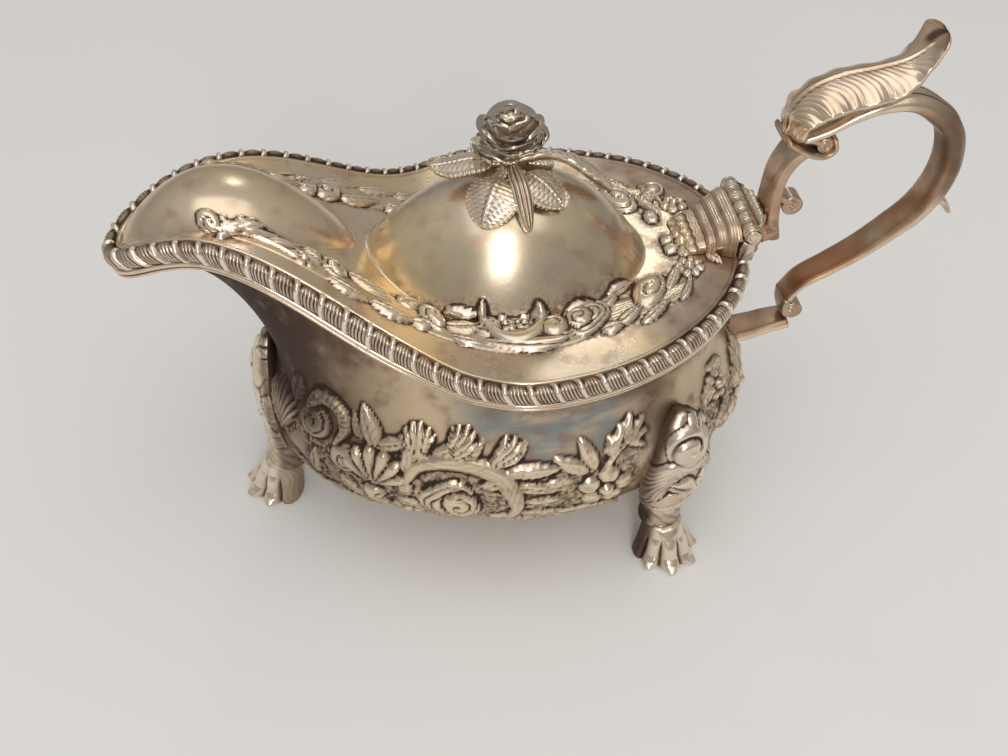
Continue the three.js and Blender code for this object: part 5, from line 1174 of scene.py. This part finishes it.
# Each petal: bearing, height of its foot, how far it opens, how tall it is, half its angle, how much its
# rim rolls
PETALS = [
    (186, 0.8, 8.0, 3.4, 46, 1.2), (350, 2.2, 8.2, 4.6, 44, 0.9), (262, 1.2, 5.8, 4.2, 58, 1.0),
    (82, 1.8, 7.2, 3.8, 56, 1.0), (306, 1.8, 6.8, 4.4, 38, 0.9), (220, 0.9, 7.0, 3.6, 38, 1.0),
    (130, 1.2, 7.4, 3.4, 42, 1.0), (30, 1.8, 7.6, 3.9, 42, 0.9), (236, 2.9, 5.6, 3.8, 50, 0.9),
    (290, 3.1, 5.5, 4.0, 50, 0.9), (160, 2.9, 6.2, 3.8, 52, 0.9), (10, 3.2, 6.2, 4.2, 52, 0.9),
    (180, 4.4, 6.9, 5.2, 56, 1.0), (346, 4.7, 6.9, 5.4, 54, 0.9), (262, 4.3, 5.0, 4.9, 62, 1.3),
    (76, 5.0, 6.4, 5.8, 68, 0.6), (205, 6.4, 4.2, 4.9, 70, 0.6), (318, 6.6, 4.1, 5.1, 70, 0.5),
    (90, 7.0, 4.4, 5.2, 84, 0.3), (258, 7.5, 2.6, 4.9, 98, 0.3), (60, 8.0, 2.1, 4.6, 100, 0.2),
]
petals = [petal(*sizes) for sizes in PETALS]
up = np.linspace(0, 1, PETAL_ROWS)[:, None] + np.zeros((1, 2 * PETAL_ROWS))
calyx = [(0.2, 0), (2.2, 0.1), (2.5, 1.0), (2.9, 2.6), (2.5, 5), (1.9, 8), (1.2, 11.4), (0.2, 12)]
calyx = turned(calyx, 40, (DOME_X, 0, ROSE_BASE), "z")
surface("rose_petals", petals + [calyx], "cover", "finial_rose", "finial_silver",
        hollow=[0.5 * (1 - up) ** 2] * len(petals) + all_over([calyx], 0.4),
        proud=[ease((up - 0.2) / 0.4)] * len(petals) + all_over([calyx], 0.0))


def chased_leaf(name, node, bearing, line, wide, thick, teeth=0, curl=0.0, stalk=1.5, swell=None, flutes=0):
    """Leaf of sheet silver that lies over the dome from the stem outwards: a toothed oval with a ridge
    along its middle and fine slanting veins, or flutes along it for a bud. Its line is reach from the
    axis and height over the dome."""
    c, s = np.cos(np.radians(bearing)), np.sin(np.radians(bearing))
    line = even(np.array([(far, float(lid_height(DOME_X + far * c, far * s)) + up) for far, up in line]), 90)
    share, across = np.linspace(0, 1, len(line))[:, None], np.linspace(-1, 1, 49)[None]
    blade, edge = np.clip((share - 0.12) / 0.87, 0, 1), 1 - across**2
    if swell is None:
        half_wide = (stalk + (wide - stalk) * np.sin(np.pi * blade**0.8) ** 0.6) / 2
    else:
        half_wide = (stalk + wide * swell(share)) / 2
    vein = share * (line[-1, 0] - line[0, 0]) / 1.35 - abs(across) * half_wide / 1.8
    vein = np.clip(np.cos(2 * np.pi * vein), 0, 1) ** 2 * (flutes == 0)
    vein = vein * ease(edge / 0.25) * ease((share - 0.1) / 0.1)
    rise = -0.1 * vein
    if teeth:
        tooth = abs(np.sin(np.pi * share * teeth)) ** 0.7
        half_wide = half_wide * (1 - 0.09 * (1 - tooth) * ease(blade / 0.1))
        rise = rise + 0.32 * tooth * ease((abs(across) - 0.72) / 0.2)
    bend = 0.3 * half_wide * edge + curl * ease((share - 0.6) / 0.4) * across**2
    if flutes:
        rise = rise + 0.55 * edge + 0.3 * np.cos(np.pi * flutes * across) * edge
        deep = np.clip(-np.cos(np.pi * flutes * across), 0, 1) ** 2 + 0 * vein
    else:
        rise = rise + 0.34 * bell(across / 0.06)
        deep = 0.4 * vein + 0.5 * bell((abs(across) - 0.13) / 0.05)
    side = half_wide * across
    points = np.concatenate([beside(line, side, bend + rise + thick), beside(line, side, bend)[:, ::-1]], 1)
    turn_leaf = np.array([[c, s, 0], [-s, c, 0], [0, 0, 1]])
    surface(name, points @ turn_leaf + (DOME_X, 0, 0), "cover", node, "finial_silver",
            hollow=np.clip(np.concatenate([deep, 0 * deep + 0.3], 1), 0, 1))


LOW, RAISED = [(2.9, 2), (8, 1.3), (15, 0.9)], [(2.1, 3.2), (8, 4.2), (14, 4.9), (18, 6.6), (19.8, 8.8)]
chased_leaf("long_leaf", "finial_leaf_long", 176, RAISED, 9, 0.7, 16, curl=1.2)
chased_leaf("broad_leaf", "finial_leaf_broad", 238, LOW, 13.4, 0.7, 15)
chased_leaf("round_leaf", "finial_leaf_round", 318, LOW, 11.4, 0.7, 13, curl=1.6)
chased_leaf("back_left_leaf", "finial_leaf_back_left", 120, LOW, 10.6, 0.7, 13)
chased_leaf("back_right_leaf", "finial_leaf_back_right", 42, LOW, 9.6, 0.7, 13)
chased_leaf("pointed_bud", "finial_bud", 279, [(2.55, 3.15), (8, 2.9), (15, 1.6)], 3.6, 1.2,
            swell=lambda share: np.sin(np.pi * (0.12 + 0.88 * share)) ** 0.6, flutes=4, stalk=0.8)
chased_leaf("leafy_twig", "finial_twig", 2, [(2.1, 3.45), (8, 5.0), (14, 5.0), (20, 3.8), (24.6, 3)],
            3.8, 1.4, 7, swell=lambda share: np.sin(np.pi * ease((share - 0.34) / 0.66)) ** 0.7, stalk=1.9)

WASHER_HALF = 4.2
screw = turned([(0.1, -6.3), (1.0, -6.3), (1.2, -6), (1.2, 2.8), (0.1, 2.9)], 24, (DOME_X, 0, DOME_TOP), "z")
surface("screw_shank", screw, "cover", "finial_screw", "polished_silver")
under_dome = (DOME_X, 0, float(lid_height(DOME_X, WASHER_HALF * 1.4)) - 1.2)
washer = [(1.3, 0), (1.3, -1), (3.9, -1), (WASHER_HALF, -0.8), (WASHER_HALF, -0.2), (3.9, 0)]
washer = turned(washer, 48, under_dome, "z")
surface("washer_disc", washer, "cover", "finial_washer", "polished_silver", ring=True)
nut = turned([(0.2, -1.02), (2.0, -1.02), (2.8, -1.1), (3.1, -1.4), (3.1, -2.8), (2.8, -3.0), (2.0, -3.1),
              (1.9, -3.36), (0.2, -3.4)], 48, under_dome, "z", 6, 0.05)
surface("knurled_nut", nut, "cover", "finial_nut", "polished_silver")

# Floor, light and backdrop
# A pale table under a wide soft ceiling light, a tall narrow window in front and a small one behind. The
# room is brighter above than at its horizon.
floor_mesh = bpy.data.meshes.new("floor")
floor_mesh.from_pydata([(-3, -3, 0), (3, -3, 0), (3, 3, 0), (-3, 3, 0)], [], [(0, 1, 2, 3)])
floor = bpy.data.objects.new("floor", floor_mesh)
bpy.context.collection.objects.link(floor)
pale = bpy.data.materials.new("pale_table")
pale.use_nodes = True
pale.node_tree.nodes["Principled BSDF"].inputs["Base Color"].default_value = (0.9, 0.885, 0.865, 1)
pale.node_tree.nodes["Principled BSDF"].inputs["Roughness"].default_value = 0.8
floor_mesh.materials.append(pale)


def lamp(name, place, towards, width, height, power):
    """Soft rectangular lamp that faces a point, with its sides level."""
    data = bpy.data.lights.new(name, "AREA")
    data.shape, data.size, data.size_y, data.energy = "RECTANGLE", width, height, power
    made = bpy.data.objects.new(name, data)
    made.location = place
    way = np.array(towards, float) - place
    back = -way / np.linalg.norm(way)
    right = np.cross((0, 0, 1), back)
    right /= np.linalg.norm(right)
    up = np.cross(back, right)
    made.matrix_world = Matrix([[right[k], up[k], back[k], place[k]] for k in range(3)] + [[0, 0, 0, 1]])
    bpy.context.collection.objects.link(made)


lamp("window", (-0.08, -1.05, 0.72), (0, 0, 0.09), 0.24, 0.62, 4)
lamp("ceiling", (0.0, -0.4, 1.45), (0, 0, 0.05), 1.6, 1.3, 5.6)
lamp("back_window", (0.2, 0.95, 0.92), (0, 0, 0.07), 0.16, 0.1, 0.35)

world = bpy.data.worlds.new("room")
bpy.context.scene.world = world
world.use_nodes = True
nodes, links = world.node_tree.nodes, world.node_tree.links
up = nodes.new("ShaderNodeSeparateXYZ")
links.new(nodes.new("ShaderNodeTexCoord").outputs["Generated"], up.inputs[0])
rising = nodes.new("ShaderNodeMapRange")
for socket, value in (("From Min", 0.0), ("From Max", 0.8), ("To Min", 0.25), ("To Max", 0.5)):
    rising.inputs[socket].default_value = value
links.new(up.outputs["Z"], rising.inputs["Value"])
links.new(rising.outputs["Result"], nodes["Background"].inputs["Strength"])
nodes["Background"].inputs["Color"].default_value = (1.0, 0.98, 0.95, 1)

bpy.context.scene.view_settings.view_transform = "Standard"
